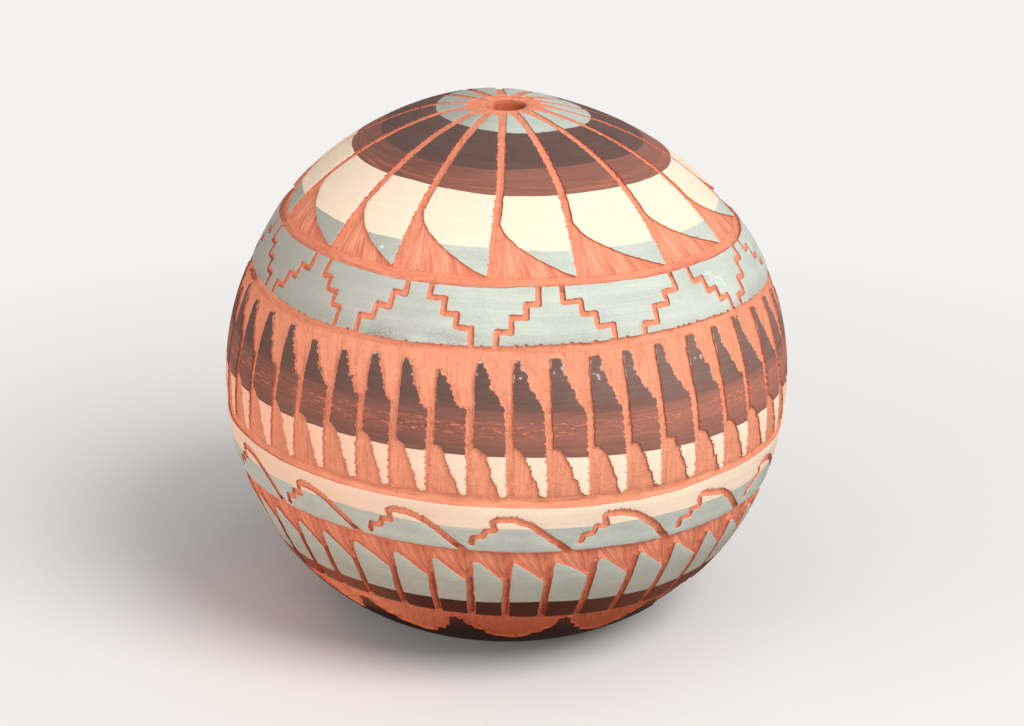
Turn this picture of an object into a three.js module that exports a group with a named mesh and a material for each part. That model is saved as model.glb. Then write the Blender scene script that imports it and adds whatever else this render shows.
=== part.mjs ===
import * as THREE from 'three';

// A hand-built clay seed jar: a nearly round hollow body with a small mouth in its closed-over
// crown, painted in rings of coloured slip. Rings are etched through the slip down to the clay.
// Sizes are in millimetres. The origin is the middle of the foot, and +Z is up.

// Clay body
const bodyRadius = 50;
const crownRise = 49.4;
const baseDrop = 46.1;
const footRadius = 14;
const wallThickness = 5;
const floorThickness = 5.5;
const mouthRadius = 3.2;
const mouthBevel = 0.6;

// Exponents of the oval outline across and up: 2 and 2 make a true ellipse
const crownAcrossExponent = 1.89;
const crownUpExponent = 2.05;
const baseAcrossExponent = 2.51;
const baseUpExponent = 1.92;

// Slip and etching, both measured inwards from the slip's outer face
const slipThickness = 0.4;
const etchedDepth = 0.6;
const bareFootRim = 2.5;

// Widths of the rings along the outer surface, from the mouth's edge down to the foot
const etchedStarWidth = 2;
const crownTurquoiseWidth = 7.8;
const shoulderBlackWidth = 10.3;
const shoulderBrownWidth = 5.5;
const shoulderCreamWidth = 11;
const shoulderTurquoiseWidth = 5.2;
const stepTopEtchWidth = 1.4;
const stepTurquoiseWidth = 9.5;
const featherTopEtchWidth = 1.9;
const bellyBlackWidth = 8.8;
const bellyBrownWidth = 7.4;
const bellyCreamWidth = 7.3;
const featherFootEtchWidth = 1.8;
const hookCreamWidth = 4;
const hookTurquoiseWidth = 4.8;
const wedgeTopEtchWidth = 1.4;
const wedgeTurquoiseWidth = 11.5;
const wedgeBlackWidth = 4.6;
const wedgeFootEtchWidth = 2;
const baseBlackWidth = 26.1;

// Fineness of the surfaces
const turnSteps = 48;
const profileStep = 6;
const curveSamples = 1200;
const halvings = 50;
const samePoint = 0.001;

const clay = new THREE.MeshStandardMaterial({ color: 0xd9815f, roughness: 0.9, metalness: 0 });
const turquoise = new THREE.MeshStandardMaterial({ color: 0xa9c3b4, roughness: 0.8, metalness: 0 });
const black = new THREE.MeshStandardMaterial({ color: 0x3b2b2a, roughness: 0.75, metalness: 0 });
const brown = new THREE.MeshStandardMaterial({ color: 0x6b3f36, roughness: 0.75, metalness: 0 });
const cream = new THREE.MeshStandardMaterial({ color: 0xf3dcc0, roughness: 0.8, metalness: 0 });

// Rings in order from the crown to the foot. One with no slip is etched down to the clay.
const rings = [
  { width: etchedStarWidth },
  { name: 'crown_turquoise_slip', width: crownTurquoiseWidth, slip: turquoise },
  { name: 'shoulder_black_slip', width: shoulderBlackWidth, slip: black },
  { name: 'shoulder_brown_slip', width: shoulderBrownWidth, slip: brown },
  { name: 'shoulder_cream_slip', width: shoulderCreamWidth, slip: cream },
  { name: 'shoulder_turquoise_slip', width: shoulderTurquoiseWidth, slip: turquoise },
  { width: stepTopEtchWidth },
  { name: 'step_turquoise_slip', width: stepTurquoiseWidth, slip: turquoise },
  { width: featherTopEtchWidth },
  { name: 'belly_black_slip', width: bellyBlackWidth, slip: black },
  { name: 'belly_brown_slip', width: bellyBrownWidth, slip: brown },
  { name: 'belly_cream_slip', width: bellyCreamWidth, slip: cream },
  { width: featherFootEtchWidth },
  { name: 'hook_cream_slip', width: hookCreamWidth, slip: cream },
  { name: 'hook_turquoise_slip', width: hookTurquoiseWidth, slip: turquoise },
  { width: wedgeTopEtchWidth },
  { name: 'wedge_turquoise_slip', width: wedgeTurquoiseWidth, slip: turquoise },
  { name: 'wedge_black_slip', width: wedgeBlackWidth, slip: black },
  { width: wedgeFootEtchWidth },
  { name: 'base_black_slip', width: baseBlackWidth, slip: black },
];

// One quarter of an oval from the axis out to the widest line, as [radius, height] points
function quarterOval(radius, height, acrossExponent, upExponent) {
  const points = [];
  for (let i = 0; i <= curveSamples; i++) {
    const turn = (Math.PI / 2) * (i / curveSamples);
    points.push([
      radius * Math.sin(turn) ** (2 / acrossExponent),
      height * Math.cos(turn) ** (2 / upExponent),
    ]);
  }
  return points;
}

// The whole oval from the top of the axis down to its bottom, with its length along the way
function ovalCurve(radius, rise, drop) {
  const upper = quarterOval(radius, rise, crownAcrossExponent, crownUpExponent);
  const lower = quarterOval(radius, -drop, baseAcrossExponent, baseUpExponent).reverse();
  const points = upper.concat(lower.slice(1));
  const lengths = [0];
  for (let i = 1; i < points.length; i++) {
    const step = Math.hypot(points[i][0] - points[i - 1][0], points[i][1] - points[i - 1][1]);
    lengths.push(lengths[i - 1] + step);
  }
  return { points, lengths };
}

// The point at a length along a curve, moved inwards by a depth
function pointAlong(curve, length, depth) {
  let i = curve.lengths.findIndex((value) => value >= length);
  i = i < 1 ? 1 : i;
  const [r0, z0] = curve.points[i - 1];
  const [r1, z1] = curve.points[i];
  const stretch = curve.lengths[i] - curve.lengths[i - 1];
  const share = (length - curve.lengths[i - 1]) / stretch;
  const inward = [(z1 - z0) / stretch, -(r1 - r0) / stretch];
  return new THREE.Vector2(
    r0 + (r1 - r0) * share + inward[0] * depth,
    z0 + (z1 - z0) * share + inward[1] * depth,
  );
}

// The length along one half of a curve at which its surface, at a depth, has this radius.
// axisEnd is 0 for the half above the widest line, and the curve's whole length for the other.
function lengthAtRadius(curve, radius, depth, axisEnd) {
  let wide = curve.lengths[curveSamples];
  let narrow = axisEnd;
  for (let i = 0; i < halvings; i++) {
    const middle = (wide + narrow) / 2;
    if (pointAlong(curve, middle, depth).x > radius) {
      wide = middle;
    } else {
      narrow = middle;
    }
  }
  return (wide + narrow) / 2;
}

function wholeLength(curve) {
  return curve.lengths[curve.lengths.length - 1];
}

const outerCurve = ovalCurve(bodyRadius, crownRise, baseDrop);
const mouthEdgeLength = lengthAtRadius(outerCurve, mouthRadius + mouthBevel, etchedDepth, 0);
const footLength = lengthAtRadius(outerCurve, footRadius, slipThickness, wholeLength(outerCurve));
const widestHeight = -pointAlong(outerCurve, footLength, slipThickness).y;

// The rings share out the surface from the mouth to the bare rim of the foot by their widths
function layOutRings() {
  const widths = rings.reduce((sum, ring) => sum + ring.width, 0);
  const spread = (footLength - bareFootRim - mouthEdgeLength) / widths;
  let start = mouthEdgeLength;
  for (const ring of rings) {
    ring.start = start;
    ring.end = start + ring.width * spread;
    start = ring.end;
  }
}

// Points along one ring at a depth, with the foot's flat at height 0
function ringPoints(start, end, depth) {
  const steps = Math.max(1, Math.round((end - start) / profileStep));
  const points = [];
  for (let i = 0; i <= steps; i++) {
    const point = pointAlong(outerCurve, start + ((end - start) * i) / steps, depth);
    points.push(new THREE.Vector2(point.x, point.y + widestHeight));
  }
  return points;
}

// A closed solid turned about the Z axis from an outline of radii and heights
function turned(outline) {
  const geometry = new THREE.LatheGeometry(outline, turnSteps);
  geometry.rotateX(Math.PI / 2);
  return geometry;
}

function slipRing(ring) {
  const outer = ringPoints(ring.start, ring.end, 0);
  const seat = ringPoints(ring.start, ring.end, slipThickness);
  return turned([...seat, ...outer.reverse(), seat[0]]);
}

// The clay's outer face from the foot up to the mouth: seats for the slip, and the etched rings
function clayOutside() {
  const points = [];
  for (const ring of rings) {
    points.push(...ringPoints(ring.start, ring.end, ring.slip ? slipThickness : etchedDepth));
  }
  const rim = ringPoints(footLength - bareFootRim, footLength, slipThickness);
  points.push(...rim.slice(1));
  const isNew = (point, i) => i === 0 || point.distanceTo(points[i - 1]) > samePoint;
  return points.filter(isNew).reverse();
}

// The mouth's wall and the hollow, from the crown down to the middle of the floor
function clayInside() {
  const hollow = ovalCurve(
    bodyRadius - wallThickness,
    crownRise - wallThickness,
    widestHeight - floorThickness,
  );
  const end = wholeLength(hollow);
  const start = lengthAtRadius(hollow, mouthRadius, 0, 0);
  const steps = Math.ceil((end - start) / profileStep);
  const points = [];
  for (let i = 0; i < steps; i++) {
    const point = pointAlong(hollow, start + ((end - start) * i) / steps, 0);
    points.push(new THREE.Vector2(point.x, point.y + widestHeight));
  }
  points.push(new THREE.Vector2(0, floorThickness));
  return points;
}

function clayBody() {
  const outside = clayOutside();
  const lip = outside[outside.length - 1];
  const mouthTop = new THREE.Vector2(mouthRadius, lip.y - mouthBevel);
  const axisFoot = new THREE.Vector2(0, 0);
  return turned([axisFoot, ...outside, mouthTop, ...clayInside()]);
}

function piece(name, geometry, material) {
  const mesh = new THREE.Mesh(geometry, material);
  mesh.name = name;
  return mesh;
}

layOutRings();
const group = new THREE.Group();
group.add(piece('clay_body', clayBody(), clay));
for (const ring of rings) {
  if (ring.slip) {
    group.add(piece(ring.name, slipRing(ring), ring.slip));
  }
}

export default group;
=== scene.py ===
"""Looks of a hand-built clay seed jar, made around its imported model.

The jar's pattern is drawn on a flat chart of its outer face. Etched shapes cut the chart into
areas of slip and of bare clay. Each ring of slip becomes a thin coat, and the clay body gets an
etched floor, walls up to the coats and seats under them. Sizes in this file are in millimetres
until a mesh is made. Turns are in degrees to the right of the front, and lengths run down the
outer face from the top of the axis.
"""

import math
import random
from collections import namedtuple

import bpy
import numpy as np
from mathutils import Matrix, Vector, noise
from mathutils.bvhtree import BVHTree
from mathutils.geometry import delaunay_2d_cdt
from mathutils.kdtree import KDTree


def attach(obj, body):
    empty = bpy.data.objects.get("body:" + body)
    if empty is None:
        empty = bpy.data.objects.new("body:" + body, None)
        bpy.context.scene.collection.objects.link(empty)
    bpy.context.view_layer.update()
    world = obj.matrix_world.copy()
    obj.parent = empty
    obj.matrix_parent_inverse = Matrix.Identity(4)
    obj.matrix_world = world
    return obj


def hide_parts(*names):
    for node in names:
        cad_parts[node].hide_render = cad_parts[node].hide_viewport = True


bl_info = {
    "name": "Etched Seed Jar",
    "version": (1, 0, 0),
    "blender": (4, 5, 0),
    "location": "View3D > Sidebar > Seed Jar",
    "description": "Builds a slip-painted and etched clay seed jar around its packed model",
    "category": "Add Mesh",
}

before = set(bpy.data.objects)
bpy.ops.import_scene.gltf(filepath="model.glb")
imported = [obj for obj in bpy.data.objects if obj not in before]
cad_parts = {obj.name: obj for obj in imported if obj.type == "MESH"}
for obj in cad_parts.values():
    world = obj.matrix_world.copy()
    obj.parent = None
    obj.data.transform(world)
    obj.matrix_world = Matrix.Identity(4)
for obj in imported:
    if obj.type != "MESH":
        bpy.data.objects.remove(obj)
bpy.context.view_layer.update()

MM = 0.001
PER_METRE = (1000, 1000, 1000)

# Sizes of the jar, in millimetres
JAR_SIZES = (
    ("body_radius", "Outer radius at the widest line", 50),
    ("crown_rise", "From the widest line up to the top", 49.4),
    ("base_drop", "From the widest line down to the oval's foot", 46.1),
    ("widest_height", "Height of the widest line", 44.7),
    ("wall", "Thickness of the clay wall", 5),
    ("floor", "Thickness of the floor", 5.5),
    ("mouth_radius", "Inner radius of the mouth", 3.2),
    ("mouth_bevel", "Bevel round the mouth", 0.6),
    ("foot_radius", "Radius of the flat foot", 14),
    ("coat", "Thickness of the slip", 0.15),
)

# Colours as a screen shows them, from 0 to 255
JAR_COLOURS = (
    ("clay", "Fired terracotta", 234, 148, 116),
    ("turquoise", "Pale grey-green slip", 190, 198, 188),
    ("black", "Darkest slip", 102, 80, 74),
    ("brown", "Red-brown slip", 140, 93, 80),
    ("cream", "Cream slip", 250, 228, 204),
    ("backdrop", "Pale floor", 244, 242, 240),
)
JAR_FINISH = (
    ("stroke_strength", "Strength of the etching tool's marks in the clay", 0.7),
    ("streak_strength", "Strength of the brush's marks in the slip", 0.5),
    # The crease is painted shade: the clay darkened along the foot of each etched wall
    ("crease_strength", "How dark the clay is along the foot of each etched wall", 0.75),
)

# Exponents of the oval outline, as in the clay's own shape
CROWN_ACROSS = 1.89
CROWN_UP = 2.05
BASE_ACROSS = 2.51
BASE_UP = 1.92
CURVE_SAMPLES = 2000
LEAST_CHARTED_RADIUS = 0.3

# How far the hand-shaped shoulder stands out at the back left, and lies in at the back right
BACK_LEFT_BULGE = 1.1
BACK_RIGHT_HOLLOW = 0.55

# Fineness of the meshes
LINE_STEPS = 600
MOUTH_STEPS = 96
FOOT_STEPS = 240
EDGE_STEP = 0.5
BEVEL_WIDTH = 0.28
HOLLOW_STEP = 6.0
SEAM_STEP = 2.0
ROW_SHARE = 0.87
ROW_JITTER = 0.18
SHARP_ANGLE = math.radians(58)

# Steps between the points that fill each sort of area, and how near to an edge they come
CLAY_FILL = (0.69, 0.3)
COAT_FILL = (1.7, 0.75)
SEAT_FILL = (3.4, 0.9)

# Where the hollow's rows start on the maps, and where its middle lies
HOLLOW_START = 150.0
HOLLOW_MIDDLE = 180.0

# Seeds of the noise, of the pattern's small steps, and of the filling points
NOISE_SEED = 3
PATTERN_SEED = 11
FILL_SEED = 5

# Depths of the etching below the slip's face. A cut at least LEAST_DEEP deep is a deep one.
SPOKE_CUT = 0.56
STAIR_CUT = 0.62
SPINE_CUT = 0.56
HOOK_CUT = 0.56
FOOT_SPOKE_CUT = 0.85
FIELD_CUT = 0.5
LEAST_DEEP = 0.6
CUT_FOOT = 0.42
LIP_DEPTH = 0.6
WORN_EDGE = 0.05
FOOT_DEPTH = 0.4
BARE_RIM = 2.5

# Widths of the etched lines. A spoke's width and depth change at these lengths down it.
SPOKE_WIDTHS = ((5, 7.5, 11, 30), (2.4, 1.6, 1.4, 1.4))
SPOKE_CUTS = ((12, 28), (0.26, SPOKE_CUT))
STAIR_WIDTH = 1.02
SPINE_WIDTH = 1.32
HOOK_WIDTHS = (1.1,) * 6 + (1.3,) * 7
HOOK_END = 0.58
FOOT_SPOKE_WIDTH = 1.38

# Nicks beside a carved line, as ranges: share of their size, half width, slant, and gap
NICK_REACH = (0.5, 1.1)
NICK_HALF = (0.3, 0.6)
NICK_SLANT = (0, 0.3)
NICK_GAP = (0.8, 2.1)
NICK_OVERLAP = 0.12

# The ring above the wedges is cut deepest along its upper edge
UNDERCUT_TOP = 92.4
UNDERCUT_FOOT = 96.4
UNDERCUT = 0.45

# Strength of the painted shade on the clay at the foot of a wall, and where two depths of etching
# meet
CREASE_AT_COAT = 0.44
CREASE_AT_STEP = 0.5

# Lengths at which the painted shade along a ring's edge is darkest, and how near to them
DARK_EDGES = ((46.9, 0.7), (92.5, 0.6))

# What a triangle of the chart can be, where it isn't a coat's number
SHALLOW = -1
DEEP = -2
VOID = -3
OUTSIDE = -4

# The way that the tool's strokes run in an etched area
ROUND_JAR = 0
DOWN_JAR = 1
FROM_FAN_TOP = 2
TO_WEDGE_FOOT = 3
FROM_STAR = 4

# Strokes that run from one point: how far it lies aside, its length, and the strokes' spread
STROKE_FANS = {FROM_FAN_TOP: (0.0, 30.0, 13), TO_WEDGE_FOOT: (0.8, 102.0, 10)}

# How plainly the strokes show, from 0 to 1
SCORED = (0.4, 0.3, 0.9, 1.0, 0.5)

# Bands from the mouth down to the foot: a coat's name, or how deep a bare band is etched
BANDS = (
    0.5,
    "crown_turquoise",
    "shoulder_black",
    "shoulder_brown",
    "shoulder_cream",
    "shoulder_turquoise",
    0.8,
    "step_turquoise",
    0.8,
    "belly_black",
    "belly_brown",
    "belly_cream",
    0.75,
    "hook_cream",
    "hook_turquoise",
    0.75,
    "wedge_turquoise",
    "wedge_black",
    0.5,
    "base_black",
)
COATS = [band for band in BANDS if isinstance(band, str)]

# Each line between two bands: (turn, length) where it is seen, its length round the back, and
# how rough its edge is
PAINTED = 0.07
ETCHED = 0.14
EDGE_WAVES = (7, 11, 17, 29, 43, 71, 107)
SMOOTHED_STEPS = 12
BAND_LINES = (
    (((-37, 13.3), (-7, 13.7), (8, 13.8), (37, 13.4)), 13.6, PAINTED),
    (((-37, 24.1), (-7, 24.0), (8, 23.4), (37, 23.1)), 23.7, PAINTED),
    (((-37, 28.9), (-7, 29.8), (8, 29.7), (37, 29.3)), 29.4, PAINTED),
    (((-37, 40.6), (-7, 40.0), (8, 40.4), (37, 40.5)), 40.4, PAINTED),
    (((-37, 45.2), (37, 45.0)), 45.1, ETCHED),
    (((-37, 47.2), (-7, 47.2), (8, 46.6), (37, 46.5)), 46.9, ETCHED),
    (((-45, 57.3), (-25, 57.4), (0, 56.5), (20, 56.0), (50, 55.6)), 56.4, ETCHED),
    (((-45, 58.6), (-20, 58.2), (0, 57.8), (20, 57.4), (50, 56.8)), 57.8, ETCHED),
    (((-37, 67.4), (-7, 67.2), (37, 67.4)), 67.3, PAINTED),
    (((-37, 74.4), (-7, 74.7), (8, 74.7), (37, 75.4)), 74.8, PAINTED),
    (((-45, 82.2), (45, 82.0)), 82.1, ETCHED),
    (((-37, 83.5), (-7, 83.8), (8, 83.9), (37, 83.6), (50, 82.6)), 83.6, ETCHED),
    (((-37, 87.4), (-7, 87.9), (8, 87.8), (37, 87.6)), 87.7, PAINTED),
    (((-37, 92.2), (-7, 92.5), (8, 92.6), (37, 92.5)), 92.5, ETCHED),
    (((-37, 93.6), (37, 93.6)), 93.6, ETCHED),
    (((-37, 105.5), (-7, 105.4), (8, 104.9), (37, 106.0)), 105.3, PAINTED),
    (((-37, 109.0), (-7, 109.8), (8, 110.0), (37, 110.8)), 109.9, ETCHED),
)
STEP_FOOT_LINE = 6

# The whole pattern is tipped sideways on the jar, about a line from the viewer's eye
PATTERN_TIP = math.radians(1.79)
VIEW_ELEVATION = math.radians(20.2)

# The star etched about the mouth isn't centred on it, and the tip carries it to the right
STAR_MIDDLE = (-2.6, -1.0)
STAR_RADIUS = 5.9
SPOKES_MIDDLE = (-2.0, -1.0)
CROWN_SHIFT = 1.5
LEAST_STAR_WIDTH = 1.3
MOUTH_EDGE = 3.86

# Where a spoke stops running straight as seen from above, and how near to the mouth it starts
SPOKE_BEND = 28.0
SPOKE_START = 4.2
SPOKE_FOOT = ((-0.1, 34), (-0.2, 41), (-0.2, 46.2))

# Turns of the shapes that the photograph shows, with how many go round the jar
SPOKES = ((-76, -48.3, -28, -4, 17.5, 42.5, 66.5), 15)
PYRAMIDS = ((-49.5, -20.5, 9.5, 44.5, 73), 12)
PYRAMID_WIDTHS = {-49.5: (1.0, 0.86), -20.5: (1.02, 1.02), 9.5: (0.95, 1.05), 44.5: (1.17, 0.97)}
# Each feather's turn, which of the tops it has, and how far that top is moved down
FEATHERS = (
    (-69, 1, -0.3), (-60.5, 1, -0.5), (-51.5, 1, -0.3), (-44, 1, 0.7), (-36, 1, 0.7),
    (-28.5, 1, -0.1), (-21.5, 0, -0.1), (-14, 2, 0.0), (-6.5, 5, 0.1), (1, 5, 0.1),
    (8.5, 3, 0.0), (16.5, 3, -0.1), (24, 4, 0.3), (31.5, 4, 0.0), (39.5, 3, -0.9),
    (47.5, 4, -0.4), (55.5, 4, -0.6), (64, 4, -0.6), (72, 3, -0.9),
)
FEATHER_COUNT = 46
FEATHER_WIDTH = 7.8

# Where the feathers start, and how much further right they run for each millimetre down, by turn
FEATHER_STARTS = ((-180, -45, -20, 0, 20, 50, 180), (57.2, 58.0, 57.8, 57.2, 56.8, 56.3, 57.2))
FEATHER_SLOPES = ((-180, -45, -20, 0, 45, 90, 180), (0, -0.01, 0.01, 0.05, 0.085, 0, 0))
HOOKS = ((-49, -27, -6.3, 15.5, 37.5, 59), 17)
FOOT_SPOKES = ((-48.5, -41, -32.7, -23.2, -14.8, -6.4, 1.6, 10.2, 19.5, 29, 38, 47.5), 41)
LOBES = ((-37, -11, 17, 44), 13)
LOBE_WIDTH = 27.7

# Shapes as (degrees right of their own line, length)
FEATHER_TOPS = (
    (
        (0.8, 60.2), (1.1, 59.6), (1.4, 59.6), (1.9, 60.2), (2.7, 60.9), (3.1, 61.8),
        (3.5, 63.2), (3.8, 64.2), (4.5, 64.6), (4.9, 65.6), (5.5, 66.8), (6.3, 67.2),
    ),
    (
        (0.7, 60.8), (1.0, 59.9), (2.4, 59.9), (2.9, 60.8), (3.3, 61.6), (3.8, 62.8),
        (4.1, 63.9), (4.8, 64.3), (5.2, 65.5), (5.8, 66.8), (6.6, 67.2),
    ),
    (
        (0.5, 60.6), (1.4, 61.6), (2.2, 62.1), (3.0, 63.0), (3.7, 63.6), (4.0, 64.6),
        (4.7, 66.1), (5.4, 66.8), (6.4, 67.0),
    ),
    (
        (0.45, 60.2), (0.5, 58.5), (2.4, 58.4), (2.7, 59.2), (2.7, 60.7), (3.5, 61.2),
        (3.8, 62.2), (4.1, 63.4), (4.9, 63.9), (5.3, 65.2), (6.0, 66.2), (6.7, 66.8),
    ),
    (
        (0.1, 59.4), (0.15, 57.8), (1.95, 57.8), (2.15, 58.6), (2.2, 60.4), (2.8, 61.4),
        (3.5, 62.6), (4.0, 63.9), (5.0, 64.5), (5.6, 65.7), (6.2, 66.3), (6.8, 66.6),
    ),
    (
        (0.5, 61.6), (0.6, 60.2), (0.95, 58.9), (1.5, 58.2), (1.9, 58.9), (2.3, 60.1),
        (3.4, 60.8), (3.6, 62.2), (3.8, 63.4), (5.0, 63.9), (5.6, 65.3), (6.6, 66.8),
    ),
)
FEATHER_FOOT = (
    (0.4, 73.4), (1.4, 73.3), (2.3, 73.9), (3.0, 74.8), (3.6, 75.9), (4.0, 77.2), (4.4, 78.3),
    (4.9, 79.0), (5.2, 80.2), (5.6, 81.1), (6.1, 81.7), (6.9, 81.5),
)
HOOK_PATH = (
    (0.4, 90.9), (0.6, 89.6), (2.7, 89.4), (3.1, 88.1), (5.2, 88.0), (4.6, 86.3), (5.5, 85.8),
    (8.4, 85.9), (11.7, 86.8), (14.3, 88.3), (16.6, 90.0), (18.5, 91.6), (20.2, 92.9),
)
LOBE_EDGE = (
    (0, 111.4), (1.7, 111.9), (2.2, 114.0), (4, 114.9), (4.7, 116.4), (6.8, 117.0), (7.6, 118.9),
    (11, 120.3), (16, 121.4), (19, 120.6), (20.6, 118.6), (22.8, 118.1), (23.6, 115.9),
    (25.3, 115.2), (26, 112.2),
)
STAIR_LEFT = ((-2.9, -6.0, -9.1, -12.3), (49.6, 52.0, 54.4))
STAIR_RIGHT = ((2.8, 6.3, 9.6, 12.8), (49.4, 51.6, 53.8))
STAIR_ENDS = (46.4, 57.6)
FAN_TOP = 34.6
HIGH_FANS = {-28: 33.5}
FAN_FOOT = 44.9
FAN_CURVE = 0.6
FAN_TIP = ((-1.5, 45.1), (-1.1, 44.7), (-0.95, 44.0), (-0.4, 43.6), (0, 46.3))
WEDGE_SLOPE = ((0, 96.0), (0.85, 95.9), (1.05, 95.3), (1.7, 95.1))

# Lengths between which the edges of the feathers' tops are rubbed palest, and how pale each is
FEATHER_RIMS = (58.2, 62.4)
RIM_WEAR = 1.25
EDGE_WEAR = 0.8

# Places where the slip is rubbed or chipped pale: turn, length and radius
RUBBED = (
    (52.6, 48.7, 0.9), (53.8, 49.4, 1.2), (55.2, 50.3, 1.4), (56.4, 51.2, 1.6),
    (57.8, 52.0, 1.2), (17.6, 60.6, 0.6), (17.9, 61.4, 0.8), (18.6, 62.1, 0.6),
    (42.9, 61.6, 0.9), (40.9, 61.5, 0.6), (11.2, 60.1, 0.6), (9.3, 60.8, 0.5),
    (-27.2, 59.9, 0.5), (-5.4, 59.4, 0.5), (-5.6, 61.2, 0.4), (2.8, 61.6, 0.4),
    (25.3, 60.4, 0.5), (-40.6, 59.8, 0.5), (-26.6, 33.6, 0.5), (-34.2, 42.4, 0.7),
)
RUBBED_WEAR = 1.5
RUBBED_REACH = 1.2

# Measures of a place on the pattern, in centimetres: across it, down it, and down it with a
# brush's waver. A tint can also follow a noise, given by its scale, detail and roughness.
WHEEL_RADIUS = 5.0
ACROSS = "across"
DOWN = "down"
WAVERED = "wavered"

# Tints laid on each material in turn, many of them painted light and shade: a colour's name, or None
# for what lies under the tint, the factors it is multiplied by, and ranges. Each range has a measure,
# its values where the tint starts and where it ends, and the tint's shares there, which are 0 and 1
# if they aren't given.
CLAY_TINTS_AND_PAINTED_LIGHT = (
    # Painted light: the clay paler near the top
    (None, (1.18, 1.12, 1.06), (DOWN, 1.0, 0.5)),
    (None, (0.97, 0.94, 0.93), (DOWN, 2.6, 3.2)),
    (None, (1.03, 1.15, 1.17), (DOWN, 4.7, 5.8)),
    # Painted shade: darker in the band of the deep ring above the wedges
    (None, (0.92, 0.76, 0.74), (DOWN, 8.6, 9.2)),
    # Painted shade and warm bounce: darker and redder toward the base
    (None, (0.9, 0.68, 0.57), (DOWN, 10.6, 11.3)),
    # Painted light: paler again at the lower left
    (None, (1.4, 1.85, 1.95), (ACROSS, -2.8, -1.0, 1.0, 0.0), (DOWN, 10.9, 11.3)),
)
BELLY_BLACK = ((DOWN, 5.4, 5.5), (DOWN, 7.4, 7.5, 1.0, 0.0))
BELLY_BROWN = (DOWN, 6.0, 6.1)
SCRATCH_TINT = (0.9, 0.7, 0.64)
SCRATCH_SLANT = math.radians(-35)
SCRATCHED = (
    (DOWN, 6.82, 6.95),
    (DOWN, 7.08, 7.22, 1.0, 0.0),
    (((1.1, 2, 1.1), 1.0, 0.5), 0.35, 0.6, 0.3, 1.0),
)
SOOT = (
    (DOWN, 5.35, 5.72),
    (DOWN, 5.9, 6.0, 1.0, 0.0),
    (ACROSS, -2.8, 2.8, 1.0, 0.35),
    (((1.6, 3.4, 1.6), 3.0, 0.6), 0.3, 0.65),
    (((26, 26, 26), 2.0, 0.6), 0.3, 0.65, 0.2, 0.9),
)
SHOULDER_STRIPES = (
    (((0.6, 24, 0.6), 2.0, 0.5), 0.5, 0.65, 0.0, 0.35),
    (DOWN, 2.65, 2.75),
    (DOWN, 2.85, 2.95, 1.0, 0.0),
)
# Painted warm bounce: warm light on the cream's left side, most on the belly
PAINTED_WARM_LIGHT_LEFT = ((ACROSS, -3.7, 0.8, 1.0, 0.0), (DOWN, 6, 7), (DOWN, 8.2, 8.4, 1.0, 0.45))
SLIP_TINTS_AND_PAINTED_LIGHT = {
    "turquoise": (
        ("clay", (0.14, 0.2, 0.26), *SOOT),
        # Painted shade: the turquoise darker on the left, above the belly
        ("turquoise", (0.74, 0.68, 0.68), (ACROSS, -3.9, -1, 0.8, 0), (DOWN, 6, 8, 1, 0)),
        # Painted shade: the turquoise darker toward the foot of the wedge band
        ("turquoise", (0.7,), (DOWN, 9.6, 10.3, 0.0, 0.2)),
        # Painted warm bounce: the turquoise warmer toward the foot of the wedge band
        (None, (1.0, 0.94, 0.9), (DOWN, 9.6, 10.2)),
    ),
    "black": (
        # Painted light: the belly's black lighter toward the right
        (None, (1.85,), (ACROSS, -0.5, 2.7, 0.0, 0.75), *BELLY_BLACK),
        # Painted shade and warm bounce: the black darker and redder toward the foot
        ("black", (0.56, 0.22, 0.11), (DOWN, 10.0, 10.4, 0.0, 0.85)),
        # Painted light: the wedge band's black lighter at its left and right sides
        (None, (3.3, 3.5, 3.3), (ACROSS, -3.3, -1.6, 1.0, 0.0), (DOWN, 10.0, 10.4)),
        (None, (3.3, 3.5, 3.3), (ACROSS, 1.2, 3.2, 0.0, 0.5), (DOWN, 10.0, 10.4)),
        # Painted shadow: the base's black made darkest, where the jar rests
        ("black", (0.1, 0.04, 0.02), (DOWN, 11.1, 11.7)),
        ("brown", (0.9,), (WAVERED, 6.58, 6.8, 0.0, 0.7), *BELLY_BLACK),
    ),
    "brown": (
        # Painted shade: the brown darker on the left, on the belly and the shoulder
        (None, (0.76,), (ACROSS, -1.2, 0.8, 0.8, 0.0), BELLY_BROWN),
        (None, (0.68,), (ACROSS, -3.0, -0.5, 0.8, 0.0), (DOWN, 5, 6, 1, 0)),
        # Painted light: the belly's brown lighter toward the right
        (None, (1.5,), (ACROSS, -0.5, 3.9, 0.0, 0.8), BELLY_BROWN),
        ("black", (1.0,), (WAVERED, 6.68, 6.92, 0.6, 0.0), BELLY_BROWN),
        ("black", (1.0,), (WAVERED, 7.15, 7.45, 0.0, 0.4)),
        ("brown", (1.5,), (((1.0, 34, 1.0), 3.0, 0.6), 0.5, 0.7, 0.0, 0.4)),
        ("clay", SCRATCH_TINT, *SHOULDER_STRIPES),
    ),
    "cream": (("cream", (1.03, 0.78, 0.72), *PAINTED_WARM_LIGHT_LEFT),),
}

# Each slip's streaks, mottling, wear and shine, from 0 to 1, and what shows where it is rubbed
SLIPS = {
    "turquoise": (0.2, 0.15, 0.5, 0.25, ("turquoise", 1.15, 1.3, 1.3)),
    "black": (0.3, 0.18, 0.42, 0.08, ("black", 3.6, 6.0, 6.6)),
    "brown": (0.4, 0.15, 0.3, 0.25, ("black", 3.6, 6.0, 6.6)),
    "cream": (0.06, 0.05, 0.4, 0.25, ("cream", 1.1)),
}

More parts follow.
